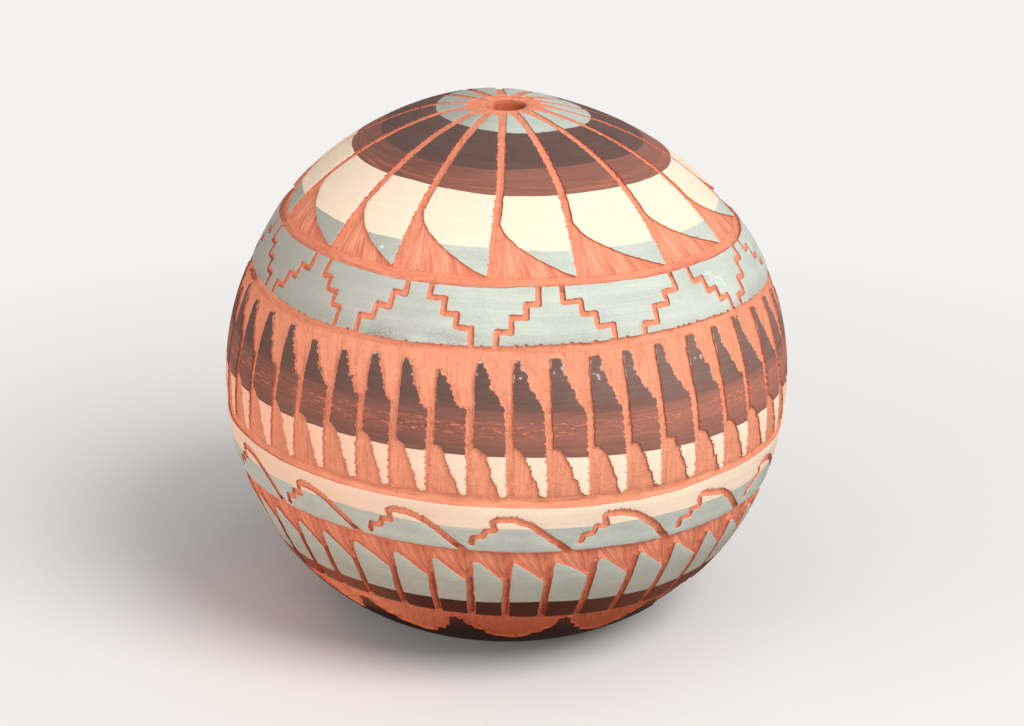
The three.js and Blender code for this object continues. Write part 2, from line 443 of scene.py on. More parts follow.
# The stage, in metres. BOUNCE is how much of its own colour the floor throws back on the jar.
BOUNCE = (0.15, 0.08, 0.055)
FLOOR_HALF = 4.0
SHADOW_FADE = (0.06, 0.22)
WORLD_LIGHT = 0.34
JAR_MIDDLE = (0, 0, 0.045)
LAMPS = (
    ("key", (0.6, -0.62, 0.85), JAR_MIDDLE, 0.7, 11.0, (1.0, 0.99, 0.97)),
    ("front", (0.45, -0.93, 0.15), JAR_MIDDLE, 0.5, 4.2, (1.0, 0.97, 0.95)),
    ("fill", (-1.0, -0.32, 0.11), JAR_MIDDLE, 0.7, 2.2, (1.0, 0.93, 0.9)),
    ("low", (-0.27, -0.15, 0.03), (0, 0, 0.025), 0.06, 0.33, (1.0, 0.82, 0.75)),
)

# The photograph's camera: pixels across, focal length and shifts in pixels, and millimetres
PHOTO_WIDTH = 1024
FOCAL_PIXELS = 2797
CAMERA_SHIFT = (5.75, 8.8)
CAMERA_DISTANCE = 500
CAMERA_DROP = 0.47
CAMERA_CLIP = (0.01, 20)
SENSOR_WIDTH = 36

Sizes = namedtuple("Sizes", [name for name, _, _ in JAR_SIZES])
Etching = namedtuple("Etching", "outline strokes at cut")
Chart = namedtuple("Chart", "points triangles labels strokes at cuts")


class Outline:
    """The outer face, turned about the Z axis, and its flat chart, which keeps angles true."""

    def __init__(self, sizes):
        quarter = np.linspace(0, math.pi / 2, CURVE_SAMPLES)
        sine, cosine = np.sin(quarter), np.maximum(np.cos(quarter), 0)
        crown = sizes.body_radius * sine ** (2 / CROWN_ACROSS)
        base = sizes.body_radius * cosine[1:] ** (2 / BASE_ACROSS)
        rise = sizes.crown_rise * cosine ** (2 / CROWN_UP)
        drop = -sizes.base_drop * sine[1:] ** (2 / BASE_UP)
        radius, height = np.concatenate([crown, base]), np.concatenate([rise, drop])
        steps = np.hypot(np.diff(radius), np.diff(height))
        lengths = np.concatenate([[0], np.cumsum(steps)])
        self.length = np.linspace(0, lengths[-1], 2 * CURVE_SAMPLES)
        self.radius = np.interp(self.length, lengths, radius)
        self.height = np.interp(self.length, lengths, height) + sizes.widest_height
        self.widest = int(np.argmax(self.radius))
        along_r = np.gradient(self.radius, self.length)
        along_z = np.gradient(self.height, self.length)
        size = np.hypot(along_r, along_z)
        self.out_r, self.out_z = -along_z / size, along_r / size
        steps = np.gradient(self.length) / np.maximum(self.radius, LEAST_CHARTED_RADIUS)
        growth = np.cumsum(steps)
        self.chart_radius = sizes.body_radius * np.exp(growth - growth[self.widest])
        self.fall = np.arctan2(self.radius, self.height - sizes.widest_height)

    def at(self, values, down):
        return np.interp(down, self.length, values)

    def degree(self, down):
        """The width of one degree of turn, at a length."""
        return math.radians(1) * self.at(self.radius, down)

    def place(self, turn, down, depth):
        """Points at depths below the outer face, as rows of x, y and z."""
        sunk = depth - unevenness(turn, down)
        radius = self.at(self.radius, down) - sunk * self.at(self.out_r, down)
        height = self.at(self.height, down) - sunk * self.at(self.out_z, down)
        return np.stack([*seen_from_above(turn, radius), height], -1)

    def chart(self, turn, down):
        return np.stack(seen_from_above(turn, self.at(self.chart_radius, down)), -1)

    def unchart(self, points):
        radius = np.hypot(points[:, 0], points[:, 1])
        turn = np.degrees(np.arctan2(points[:, 0], -points[:, 1]))
        return turn, np.interp(radius, self.chart_radius, self.length)

    def tipped(self, turn, down, tip=PATTERN_TIP):
        """Where places on the pattern lie once the whole pattern is tipped sideways."""
        angle, fall = np.radians(turn), self.at(self.fall, down)
        x, y, z = np.sin(fall) * np.sin(angle), -np.sin(fall) * np.cos(angle), np.cos(fall)
        eye_y, eye_z = math.cos(VIEW_ELEVATION), -math.sin(VIEW_ELEVATION)
        kept = (eye_y * y + eye_z * z) * (1 - math.cos(tip))
        sine, cosine = math.sin(tip), math.cos(tip)
        new_x = x * cosine + (eye_y * z - eye_z * y) * sine
        new_y = y * cosine + eye_z * x * sine + eye_y * kept
        new_z = z * cosine - eye_y * x * sine + eye_z * kept
        new_fall = np.arccos(np.clip(new_z, -1, 1))
        new_turn = np.degrees(np.arctan2(new_x, -new_y))
        return new_turn, np.interp(new_fall, self.fall, self.length)

    def untipped(self, turn, down):
        """The places on the pattern that lie here, with turns that don't jump at the back."""
        before, length = self.tipped(turn, down, -PATTERN_TIP)
        return before + 360 * np.round((turn - before) / 360), length

    def crown_length(self, radius, depth=0.0):
        """The length at which the crown, at a depth, has this radius."""
        sunk = self.radius - depth * self.out_r
        return np.interp(radius, sunk[: self.widest + 1], self.length[: self.widest + 1])

    def base_length(self, radius, depth):
        """The length at which the base, at a depth, has this radius."""
        sunk = self.radius - depth * self.out_r
        return np.interp(radius, sunk[self.widest :][::-1], self.length[self.widest :][::-1])


def seen_from_above(turn, radius):
    angle = np.radians(turn)
    return radius * np.sin(angle), -radius * np.cos(angle)


def unevenness(turn, down):
    """How far the hand-shaped wall stands out from a true turned one, most at the back left."""
    angle = np.radians(turn)
    full = np.clip((down - 4) / 10, 0, 1) * np.clip((56 - down) / 16, 0, 1)
    full = full * full * (3 - 2 * full)
    back_left = (0.5 + 0.5 * np.cos(angle + math.radians(145))) ** 2.5
    back_right = (0.5 + 0.5 * np.cos(angle - math.radians(115))) ** 6
    shoulder = full * (BACK_LEFT_BULGE * back_left - BACK_RIGHT_HOLLOW * back_right)
    fade = np.clip(np.sin(np.pi * np.clip((down - 6) / 130, 0, 1)), 0, 1)
    slow = 0.10 * np.sin(2 * angle + 1.1) + 0.08 * np.sin(3 * angle + down / 19)
    quick = 0.05 * np.sin(5 * angle - down / 9) + 0.03 * np.sin(down / 4 + angle)
    return shoulder + fade * (slow + quick)


def spread_round(seen_and_count, draw):
    """Turns of like shapes, each with the next: those seen, then the rest evenly round the back."""
    seen, count = seen_and_count
    missing = count - len(seen)
    pitch = (seen[0] + 360 - seen[-1]) / (missing + 1)
    rest = [seen[-1] + pitch * (i + 1 + draw.uniform(-0.06, 0.06)) for i in range(missing)]
    turns = [*seen, *rest]
    return list(zip(turns, [*turns[1:], turns[0] + 360]))


def seen_turn(turn):
    return turn if turn < 180 else turn - 360


class Pattern:
    """Gathers the etched shapes, each as (turn, length) points before the lean is added."""

    def __init__(self, outline, draw):
        self.outline = outline
        self.draw = draw
        self.etchings = []

    def off(self, most):
        """A small random step either way."""
        return self.draw.uniform(-most, most)

    def area(self, points, strokes, at=0.0, cut=FIELD_CUT):
        self.etchings.append(Etching(np.array(points, float), strokes, at, cut))

    def dab(self, turn, down, radius, cut, sides=10):
        degree = self.outline.degree(down)
        angles = [2 * math.pi * i / sides for i in range(sides)]
        points = [(turn + radius * math.cos(a) / degree, down + radius * math.sin(a)) for a in angles]
        self.area(points, DOWN_JAR, 0.0, cut)

    def line(self, path, widths, cut):
        """A line carved along a path: a straight cut for each stretch and a dab at each bend."""
        halves = np.broadcast_to(np.array(widths, float) / 2, len(path))
        cuts = np.broadcast_to(cut, len(path))
        for i, (start, end) in enumerate(zip(np.array(path, float), np.array(path[1:], float))):
            degree = self.outline.degree((start[1] + end[1]) / 2)
            across, along = (end[0] - start[0]) * degree, end[1] - start[1]
            length = math.hypot(across, along) or 1.0
            side = np.array([-along / length / degree, across / length])
            wide, narrow = side * halves[i], side * halves[i + 1]
            corners = [start + wide, end + narrow, end - narrow, start - wide]
            self.area(corners, DOWN_JAR, 0.0, (cuts[i] + cuts[i + 1]) / 2)
        for (turn, down), half, deep in list(zip(path, halves, cuts))[1:-1]:
            self.dab(turn, down, half, deep)

    def nicks(self, path, half, size, side, start, end):
        """Small nicks that the tool left along one side of a line that runs down the jar."""
        turns, downs = np.array(path, float).T
        down = start
        while down < end:
            turn = float(np.interp(down, downs, turns))
            degree = self.outline.degree(down)
            reach = half + self.draw.uniform(*NICK_REACH) * size
            base = self.draw.uniform(*NICK_HALF)
            slant = self.draw.uniform(*NICK_SLANT)
            inner = turn + side * (half - NICK_OVERLAP) / degree
            outer = turn + side * reach / degree
            tip = [(outer, down + slant - 0.2), (outer, down + slant)]
            self.area([(inner, down - base), *tip, (inner, down + base)], DOWN_JAR, 0.0, SPINE_CUT)
            down += self.draw.uniform(*NICK_GAP)

    def bites(self, path, most):
        """Small round bites out of an edge, one along each of its stretches."""
        for (turn_a, down_a), (turn_b, down_b) in zip(path, path[1:]):
            share, radius = self.draw.random(), self.draw.uniform(0.4, 1) * most
            turn, down = turn_a + (turn_b - turn_a) * share, down_a + (down_b - down_a) * share
            self.dab(turn, down, radius, FIELD_CUT, 7)

    def shaken(self, points, turn, across, along):
        """A shape's points set beside its own line, each a little off its usual place."""
        return [(turn + x + self.off(across), y + self.off(along)) for x, y in points]


def star_reach(outline, turn):
    """The length down to the star's edge, at a turn."""
    x, y = seen_from_above(turn, 1)
    towards = x * STAR_MIDDLE[0] + y * STAR_MIDDLE[1]
    spare = STAR_RADIUS**2 - STAR_MIDDLE[0] ** 2 - STAR_MIDDLE[1] ** 2
    return outline.crown_length(towards + np.sqrt(towards**2 + spare))


def spoke_path(outline, turn):
    """From the star's middle straight, as seen from above, and then down the jar."""
    radius = float(outline.at(outline.radius, SPOKE_BEND))
    angle = math.radians(turn)
    end = np.array([radius * math.sin(angle), -radius * math.cos(angle)])
    start = np.array(SPOKES_MIDDLE)
    path = []
    for share in np.linspace(0.1, 1, 22):
        x, y = start + (end - start) * share
        if math.hypot(x + CROWN_SHIFT, y) < SPOKE_START:
            continue
        here = math.degrees(math.atan2(x, -y))
        here += 360 * round((turn - here) / 360)
        path.append((here, float(outline.crown_length(math.hypot(x, y)))))
    return [*path, *[(turn + x, y) for x, y in SPOKE_FOOT]]


def etch_spokes(pattern):
    """The long lines of the shoulder, each with the fan cut at its right foot."""
    for turn, after in spread_round(SPOKES, pattern.draw):
        path = spoke_path(pattern.outline, turn)
        downs = [down for _, down in path]
        pattern.line(path, np.interp(downs, *SPOKE_WIDTHS), np.interp(downs, *SPOKE_CUTS))
        pattern.nicks(path, 0.68, 0.25, -1, 17, 44)
        pattern.nicks(path, 0.68, 0.2, 1, 19, 29)
        reach = after - turn - 2.7 + pattern.draw.uniform(-0.4, 0.3)
        top = HIGH_FANS.get(turn) or FAN_TOP + pattern.off(0.2)
        shares = np.linspace(0, 1, 14)
        edge = [(turn + 0.6 + reach * x, top + (FAN_FOOT - top) * x**FAN_CURVE) for x in shares]
        edge = [(x + pattern.off(0.12), y) for x, y in edge]
        tip = [(after + x, y) for x, y in FAN_TIP]
        pattern.area([*edge, *tip, (turn, 46.3), (turn - 0.1, 33.0)], FROM_FAN_TOP, turn)


def etch_stairs(pattern):
    """The stepped pyramids, one flight of stairs down each side."""
    top, foot = STAIR_ENDS
    for turn, _ in spread_round(PYRAMIDS, pattern.draw):
        rise = 0.35 * math.sin(math.radians(turn))
        widths = PYRAMID_WIDTHS.get(turn, (1.0, 1.0))
        for wide, (columns, rows) in zip(widths, (STAIR_LEFT, STAIR_RIGHT)):
            places = [turn + x * wide + pattern.off(0.2) for x in columns]
            levels = [y - rise + pattern.off(0.15) for y in rows]
            path = [(places[0], top)]
            for i, level in enumerate(levels):
                path += [(places[i], level), (places[i + 1], level + pattern.off(0.15))]
            path.append((places[-1] + pattern.off(0.2), foot))
            pattern.line(path, STAIR_WIDTH + pattern.draw.uniform(-0.06, 0.1), STAIR_CUT)


def etch_band_foot(pattern):
    """Small nicks along the foot of the stepped band."""
    knots, behind, _ = BAND_LINES[STEP_FOOT_LINE]
    turns, lengths = zip(*knots)
    turn = -179.0
    while turn < 178:
        down = float(np.interp(turn, (-75, *turns, 75), (behind, *lengths, behind)))
        pattern.dab(turn, down + 0.2, pattern.draw.uniform(0.3, 0.52), FIELD_CUT, 9)
        turn += pattern.draw.uniform(1.2, 4.2)


def etch_feathers(pattern):
    """The long narrow shapes round the belly, cut away at the upper right and lower left."""
    draw = pattern.draw
    seen = {turn: (kind, shift) for turn, kind, shift in FEATHERS}
    for turn, after in spread_round(([*seen], FEATHER_COUNT), draw):
        kind, shift = seen.get(turn, (draw.randrange(len(FEATHER_TOPS)), draw.uniform(-0.5, 0.4)))
        slope = float(np.interp(seen_turn(turn), *FEATHER_SLOPES))
        start = float(np.interp(seen_turn(turn), *FEATHER_STARTS))

        def leaned(points):
            return [(x + slope * (y - 70), y) for x, y in points]

        wide = (after - turn) / FEATHER_WIDTH
        top = [(x * wide, y + shift * (y < 64)) for x, y in FEATHER_TOPS[kind]]
        top = [(x, max(y, start + 0.4)) for x, y in pattern.shaken(top, turn, 0.14, 0.16)]
        inner = leaned([(turn - 0.5, start), (turn - 0.5, top[0][1] + 0.4)])
        pattern.area([*inner, *top, *leaned([(after, 67.8), (after, start)])], DOWN_JAR, turn)
        pattern.bites(top[2:], 0.36)
        foot = leaned(pattern.shaken([(x * wide, y) for x, y in FEATHER_FOOT], turn, 0.2, 0.25))
        corners = [(after, 81.2), (after, 83), (turn, 83), (turn, 73.2)]
        pattern.area([*foot, *leaned(corners)], DOWN_JAR, turn)
        pattern.bites(foot[2:-2], 0.3)
        heights = (start, 60, 64, 68, 72, 77, 82.6)
        path = leaned([(turn + pattern.off(0.12), y) for y in heights])
        pattern.line(path, SPINE_WIDTH + pattern.off(0.1), SPINE_CUT)
        pattern.nicks(path, 0.6, 0.36, -1, 61, 81)
        pattern.nicks(path, 0.6, 0.26, 1, 66, 74)


def etch_hooks(pattern):
    """The curled hooks: a few small steps, then one long curve down to the right."""
    draw = pattern.draw
    for turn, _ in spread_round(HOOKS, draw):
        shift = pattern.off(0.4)
        path = [(x, y + shift * (y < 91)) for x, y in pattern.shaken(HOOK_PATH, turn, 0.18, 0.12)]
        pattern.line(path, HOOK_WIDTHS, HOOK_CUT)
        for end in (path[0], path[-1]):
            pattern.dab(*end, HOOK_END, HOOK_CUT)
        turns, downs = np.array(path[6:]).T
        here = turns[0]
        while here < turns[-1] - 1:
            above = float(np.interp(here, turns, downs)) - HOOK_END - draw.uniform(0, 0.12)
            pattern.dab(here, above, draw.uniform(0.16, 0.26), HOOK_CUT)
            here += draw.uniform(0.7, 1.6)


def etch_wedges(pattern):
    """The lines above the base, with a slope cut between each two."""
    draw = pattern.draw
    for turn, after in spread_round(FOOT_SPOKES, draw):
        slope = pattern.shaken(WEDGE_SLOPE, turn, 0.1, 0.15)
        foot = (after - 0.9, 99.2 + pattern.off(0.5))
        low = (slope[-1][1] + foot[1]) / 2 + draw.uniform(-0.3, 0.1)
        middle = ((slope[-1][0] + foot[0]) / 2, low)
        points = [(turn, 93.4), *slope, middle, foot, (after, 99.4), (after, 93.4)]
        pattern.area(points, TO_WEDGE_FOOT, after)
        path = [(turn + pattern.off(0.2), y) for y in (92.9, 98, 104, 111.6)]
        pattern.line(path, FOOT_SPOKE_WIDTH, FOOT_SPOKE_CUT)


def band_line(knots, behind, rough, draw):
    """One line between two bands, as turns and lengths."""
    turns = np.linspace(-180, 180, LINE_STEPS, endpoint=False)
    seen_turns = [-180, -75, *[turn for turn, _ in knots], 75]
    seen_lengths = [behind, behind, *[length for _, length in knots], behind]
    lengths = np.interp(turns, seen_turns, seen_lengths, period=360)
    weights = np.hanning(2 * SMOOTHED_STEPS + 1)
    lengths = np.pad(lengths, SMOOTHED_STEPS, mode="wrap")
    lengths = np.convolve(lengths, weights / weights.sum(), "valid")
    for waves in EDGE_WAVES:
        phase = draw.uniform(0, 2 * math.pi)
        lengths = lengths + rough / math.sqrt(waves) * np.sin(np.radians(turns) * waves + phase)
    return turns, lengths


def lobed_line(draw):
    """The jagged edge of the base's lobes, as turns and lengths."""
    points = []
    for turn, after in spread_round(LOBES, draw):
        wide = (after - turn) / LOBE_WIDTH
        for x, y in LOBE_EDGE:
            points.append((turn + (x + draw.uniform(-0.2, 0.2)) * wide, y + draw.uniform(-0.5, 0.5)))
    fine = []
    for (x0, y0), (x1, y1) in zip(points, [*points[1:], (points[0][0] + 360, points[0][1])]):
        for share in np.linspace(0, 1, 4, endpoint=False):
            fine.append((x0 + (x1 - x0) * share, y0 + (y1 - y0) * share + draw.uniform(-0.3, 0.3)))
    turns, lengths = np.array(fine).T
    turns = (turns + 180) % 360 - 180
    order = np.argsort(turns)
    return turns[order], lengths[order]


def all_lines(outline, draw):
    """The lines between the bands, from the star's edge down, with the lean added."""
    turns = np.linspace(-180, 180, LINE_STEPS // 2, endpoint=False)
    ripple = 0.25 * np.sin(np.radians(turns) * 15 + 1) + 0.15 * np.sin(np.radians(turns) * 26)
    lines = [(turns, star_reach(outline, turns) + ripple)]
    lines += [band_line(knots, behind, rough, draw) for knots, behind, rough in BAND_LINES]
    lines.append(lobed_line(draw))
    placed = [outline.tipped(turns, lengths) for turns, lengths in lines]
    placed[0] = placed[0][0], np.maximum(placed[0][1], MOUTH_EDGE + LEAST_STAR_WIDTH)
    ordered = [np.argsort(turns) for turns, _ in placed]
    return [(turns[order], lengths[order]) for (turns, lengths), order in zip(placed, ordered)]


def with_steps(points, outline):
    """A closed outline with points added so that none of its steps is long."""
    after = np.roll(points, -1, axis=0)
    degree = outline.degree((points[:, 1] + after[:, 1]) / 2)
    reach = np.hypot((after[:, 0] - points[:, 0]) * degree, after[:, 1] - points[:, 1])
    steps = np.maximum(1, np.ceil(reach / EDGE_STEP)).astype(int)
    rows = [
        start + (end - start) * (np.arange(count)[:, None] / count)
        for start, end, count in zip(points, after, steps)
    ]
    return np.concatenate(rows)


def roughened(points, outline):
    """Points of etched edges moved a little, as a hand tool leaves them."""
    degree = outline.degree(points[:, 1])
    places = outline.place(points[:, 0], points[:, 1], 0.0)
    moved = points.copy()
    for i, place in enumerate(places):
        here = Vector(place)
        slow = noise.noise_vector(here * 0.55)
        quick = noise.noise_vector(here * 1.9 + Vector((40, 0, 0)))
        moved[i, 0] += (0.10 * slow.x + 0.11 * quick.x) / degree[i]
        moved[i, 1] += 0.10 * slow.y + 0.11 * quick.y
    return moved


def bare_label(cut):
    return DEEP if cut >= LEAST_DEEP else SHALLOW


def is_etched(labels):
    return (labels == SHALLOW) | (labels == DEEP)


def triangulate(points, edges):
    """Triangles over all the points that keep the edges, and the edges as the triangles hold them."""
    corners = [Vector(point) for point in points.tolist()]
    made = delaunay_2d_cdt(corners, edges.tolist(), [], 0, 0.0, True)
    origins = np.array([origin[0] for origin in made[3]])
    kept = [edge for edge, owners in zip(made[1], made[4]) if owners]
    return origins[np.array(made[2])], origins[np.array(kept)]


def opposite_sides(triangles):
    """For each side of each triangle, the number of the same side seen from the next one, or -1."""
    start = triangles.ravel().astype(np.int64)
    end = np.roll(triangles, -1, axis=1).ravel().astype(np.int64)
    span = int(triangles.max()) + 1
    keys, wanted = start * span + end, end * span + start
    order = np.argsort(keys)
    found = np.minimum(np.searchsorted(keys[order], wanted), len(keys) - 1)
    return start, end, np.where(keys[order][found] == wanted, order[found], -1)


def borders(triangles, labels):
    """Directed edges with different labels on their two sides, as start, end, left, right."""
    start, end, other = opposite_sides(triangles)
    left = np.repeat(labels, 3)
    right = np.where(other >= 0, left[other], OUTSIDE)
    keep = left != right
    return start[keep], end[keep], left[keep], right[keep]


def regions(triangles, edges):
    """The number of the region that holds each triangle, where the given edges part them."""
    start, end, other = opposite_sides(triangles)
    span = int(triangles.max()) + 1
    fixed = np.unique(edges.min(1).astype(np.int64) * span + edges.max(1))
    sides = np.minimum(start, end) * span + np.maximum(start, end)
    closed = np.isin(sides, fixed) | (other < 0)
    beside = np.where(closed, -1, other // 3).reshape(-1, 3).tolist()
    region = [-1] * len(triangles)
    for first in range(len(triangles)):
        if region[first] >= 0:
            continue
        region[first] = first
        waiting = [first]
        while waiting:
            for after in beside[waiting.pop()]:
                if after >= 0 and region[after] < 0:
                    region[after] = first
                    waiting.append(after)
    return np.array(region)


def areas(points, triangles):
    a, b, c = (points[triangles[:, i]] for i in range(3))
    return np.abs((b - a)[:, 0] * (c - a)[:, 1] - (b - a)[:, 1] * (c - a)[:, 0]) / 2


class Finder:
    """Finds the triangle of a chart that holds each of some points."""

    def __init__(self, chart):
        corners = [Vector((x, y, 0)) for x, y in chart.points.tolist()]
        self.tree = BVHTree.FromPolygons(corners, chart.triangles.tolist())
        self.chart = chart

    def triangles(self, points):
        find = self.tree.find_nearest
        return np.array([find(Vector((x, y, 0)))[2] for x, y in points.tolist()])

    def label(self, points):
        return self.chart.labels[self.triangles(points)]


def first_chart(outline, pattern, lines, ends):
    """All drawn lines and etched shapes cut into triangles, each labelled by what it is."""
    points, edges, faces = [], [], []

    def add(turns, lengths):
        first = sum(len(block) for block in points)
        points.append(outline.chart(turns, lengths))
        return np.arange(first, first + len(turns))

    def add_loop(numbers):
        edges.extend(zip(numbers.tolist(), np.roll(numbers, -1).tolist()))

    circles = []
    for steps, length in ((MOUTH_STEPS, ends[0]), (FOOT_STEPS, ends[1])):
        turns = np.linspace(-180, 180, steps, endpoint=False)
        circles.append(add(turns, np.full(steps, length)))
        add_loop(circles[-1])
    seam_lengths = np.arange(ends[0] + 2, ends[1] - 1, SEAM_STEP)
    seam = add(np.full(len(seam_lengths), 180.0), seam_lengths)
    seam = np.concatenate([[circles[0][0]], seam, [circles[1][0]]])
    edges.extend(zip(seam[:-1].tolist(), seam[1:].tolist()))
    for turns, lengths in lines:
        add_loop(add(turns, lengths))
    for etching in pattern.etchings:
        shape = roughened(with_steps(etching.outline, outline), outline)
        turns, lengths = outline.tipped(shape[:, 0], shape[:, 1])
        numbers = add(turns, np.clip(lengths, ends[0] + 0.25, ends[1] - 1))
        x, y = points[-1].T
        if np.sum(x * np.roll(y, -1) - y * np.roll(x, -1)) < 0:
            numbers = numbers[::-1]
        faces.append(numbers.tolist())
    corners = [Vector(point) for block in points for point in block.tolist()]
    made = delaunay_2d_cdt(corners, edges, faces, 0, 0.0, True)
    return label_chart(outline, pattern, lines, ends, made)


def label_chart(outline, pattern, lines, ends, made):
    """The first chart with each triangle's label and the way that its strokes run."""
    points = np.array([(v.x, v.y) for v in made[0]])
    triangles = np.array(made[2])
    turn, down = outline.unchart(points[triangles].mean(1))
    number = np.zeros(len(triangles), int)
    for turns, lengths in lines:
        number += down > np.interp(turn, turns, lengths, period=360)
    known = [COATS.index(band) if band in COATS else bare_label(band) for band in BANDS]
    labels = np.array(known)[number]
    cuts = np.array([0 if band in COATS else band for band in BANDS])[number]
    on_last_ring = number == len(lines) - 1
    strokes = np.where(number == 0, FROM_STAR, np.where(on_last_ring, DOWN_JAR, ROUND_JAR))
    at = np.zeros(len(triangles))
    for i, owners in enumerate(made[5]):
        if owners and number[i] > 0:
            own = max((pattern.etchings[owner] for owner in owners), key=lambda made: made.cut)
            if own.cut > cuts[i]:
                cuts[i], strokes[i], at[i] = own.cut, own.strokes, own.at
                labels[i] = bare_label(own.cut)
    labels = np.where(down < ends[0], VOID, labels)
    return Chart(points, triangles, labels, strokes, at, cuts)


def scattered(outline, start, end, step, draw):
    """Points spread evenly over the jar between two lengths, as turns and lengths."""
    turns, downs = [], []
    for row, down in enumerate(np.arange(start + step / 2, end, step * ROW_SHARE)):
        around = 2 * math.pi * float(outline.at(outline.radius, down))
        count = max(10, round(around / step))
        aside, along = (draw.uniform(-ROW_JITTER, ROW_JITTER, count) for _ in range(2))
        turns.append((np.arange(count) + row % 2 / 2 + aside) / count * 360 - 180)
        downs.append(down + along * step)
    return np.concatenate(turns), np.concatenate(downs)


class Surface:
    """The finished triangles: fine ones for what shows, and coarse ones for seats under slip."""

    def __init__(self, sizes):
        self.sizes = sizes
        self.outline = Outline(sizes)
        mouth = self.outline.crown_length(sizes.mouth_radius + sizes.mouth_bevel, LIP_DEPTH)
        self.foot = self.outline.base_length(sizes.foot_radius, FOOT_DEPTH)
        self.ends = (float(mouth), float(self.foot) - BARE_RIM)
        noise.seed_set(NOISE_SEED)
        pattern = Pattern(self.outline, random.Random(PATTERN_SEED))
        etch_spokes(pattern)
        etch_stairs(pattern)
        etch_feathers(pattern)
        etch_hooks(pattern)
        etch_wedges(pattern)
        etch_band_foot(pattern)
        lines = all_lines(self.outline, pattern.draw)
        rough = first_chart(self.outline, pattern, lines, self.ends)
        self.cut_again(rough)

    def cut_again(self, rough):
        """Keeps only the lines between unlike areas, and fills the areas with even triangles."""
        start, end, left, right = borders(rough.triangles, rough.labels)
        once = (left > right) & (left != VOID)
        pairs = np.stack([start[once], end[once]], 1)
        x, y = rough.points.T
        on_seam = (np.abs(x) < 1e-4) & (y > 0)
        sides = np.stack([rough.triangles, np.roll(rough.triangles, -1, axis=1)], -1).reshape(-1, 2)
        seam = np.unique(np.sort(sides[on_seam[sides].all(1)], axis=1), axis=0)
        pairs = np.concatenate([pairs, seam])
        used, edges = np.unique(pairs, return_inverse=True)
        edges = np.unique(np.sort(edges.reshape(-1, 2), axis=1), axis=0)
        fixed = rough.points[used]
        fixed[on_seam[used], 0] = 0.0
        finder = Finder(rough)
        turn, down = self.outline.unchart(fixed)
        tree = KDTree(len(fixed))
        for i, place in enumerate(self.outline.place(turn, down, 0.0)):
            tree.insert(place, i)
        tree.balance()

        def clear(turns, downs, least):
            places = self.outline.place(turns, downs, 0.0)
            far = np.array([tree.find(place)[2] > least for place in places])
            return turns[far], downs[far]

        def inside(turns, downs, wanted):
            chosen = wanted(finder.label(self.outline.chart(turns, downs)))
            return turns[chosen], downs[chosen]

        draw = np.random.default_rng(FILL_SEED)

        def fill(step, least, wanted):
            turns, downs = scattered(self.outline, *self.ends, step, draw)
            return inside(*clear(turns, downs, least), wanted)

        def is_coat(labels):
            return labels >= 0

        clay = fill(*CLAY_FILL, is_etched)
        coat = fill(*COAT_FILL, is_coat)
        seat = fill(*SEAT_FILL, is_coat)
        bevel = self.bevel_points(rough)
        bevel = inside(*clear(*bevel, BEVEL_WIDTH * 0.8), is_coat)
        rubbed = inside(*clear(*self.rubbed_points(), BEVEL_WIDTH), is_coat)
        self.fixed_count = len(fixed)
        self.fine = self.filled(fixed, edges, finder, [clay, coat, bevel, rubbed])
        self.coarse = self.filled(fixed, edges, finder, [seat])

    def rubbed_points(self):
        """Points close together where the slip is rubbed, in rings about each place."""
        turns, downs = [], []
        for turn, down, radius in RUBBED:
            turn, down = (float(value) for value in self.outline.tipped(turn, down))
            degree = float(self.outline.degree(down))
            for ring in range(1, 4):
                reach = radius * RUBBED_REACH * ring / 3
                angle = 2 * math.pi * np.arange(5 * ring) / (5 * ring)
                turns.append(turn + reach * np.cos(angle) / degree)
                downs.append(down + reach * np.sin(angle))
        return np.concatenate(turns), np.concatenate(downs)

    def bevel_points(self, rough):
        """Points just inside the coats' etched edges."""
        start, end, left, right = borders(rough.triangles, rough.labels)
        keep = (left >= 0) & (right < 0)
        start, end = start[keep], end[keep]
        along = rough.points[end] - rough.points[start]
        inward = np.stack([-along[:, 1], along[:, 0]], 1)
        inward /= np.maximum(np.hypot(*inward.T), 1e-9)[:, None]
        total = np.zeros_like(rough.points)
        for ends in (start, end):
            np.add.at(total, ends, inward)
        near = np.unique(np.concatenate([start, end]))
        inward = total[near] / np.maximum(np.hypot(*total[near].T), 1e-9)[:, None]
        _, down = self.outline.unchart(rough.points[near])
        scale = self.outline.at(self.outline.chart_radius, down)
        scale = scale / self.outline.at(self.outline.radius, down)
        return self.outline.unchart(rough.points[near] + inward * (BEVEL_WIDTH * scale)[:, None])

    def filled(self, fixed, edges, finder, fillings):
        added = [self.outline.chart(turns, downs) for turns, downs in fillings]
        points = np.concatenate([fixed, *added])
        triangles, edges = triangulate(points, edges)
        found = finder.triangles(points[triangles].mean(1))
        chart = finder.chart
        region = regions(triangles, edges)
        by_size = np.argsort(areas(points, triangles))
        labels = np.zeros(len(triangles), int)
        labels[region[by_size]] = chart.labels[found][by_size]
        own = (chart.strokes[found], chart.at[found], chart.cuts[found])
        return Chart(points, triangles, labels[region], *own)


def new_object(name, data):
    """A new object, linked into the scene."""
    made = bpy.data.objects.new(name, data)
    bpy.context.scene.collection.objects.link(made)
    return made


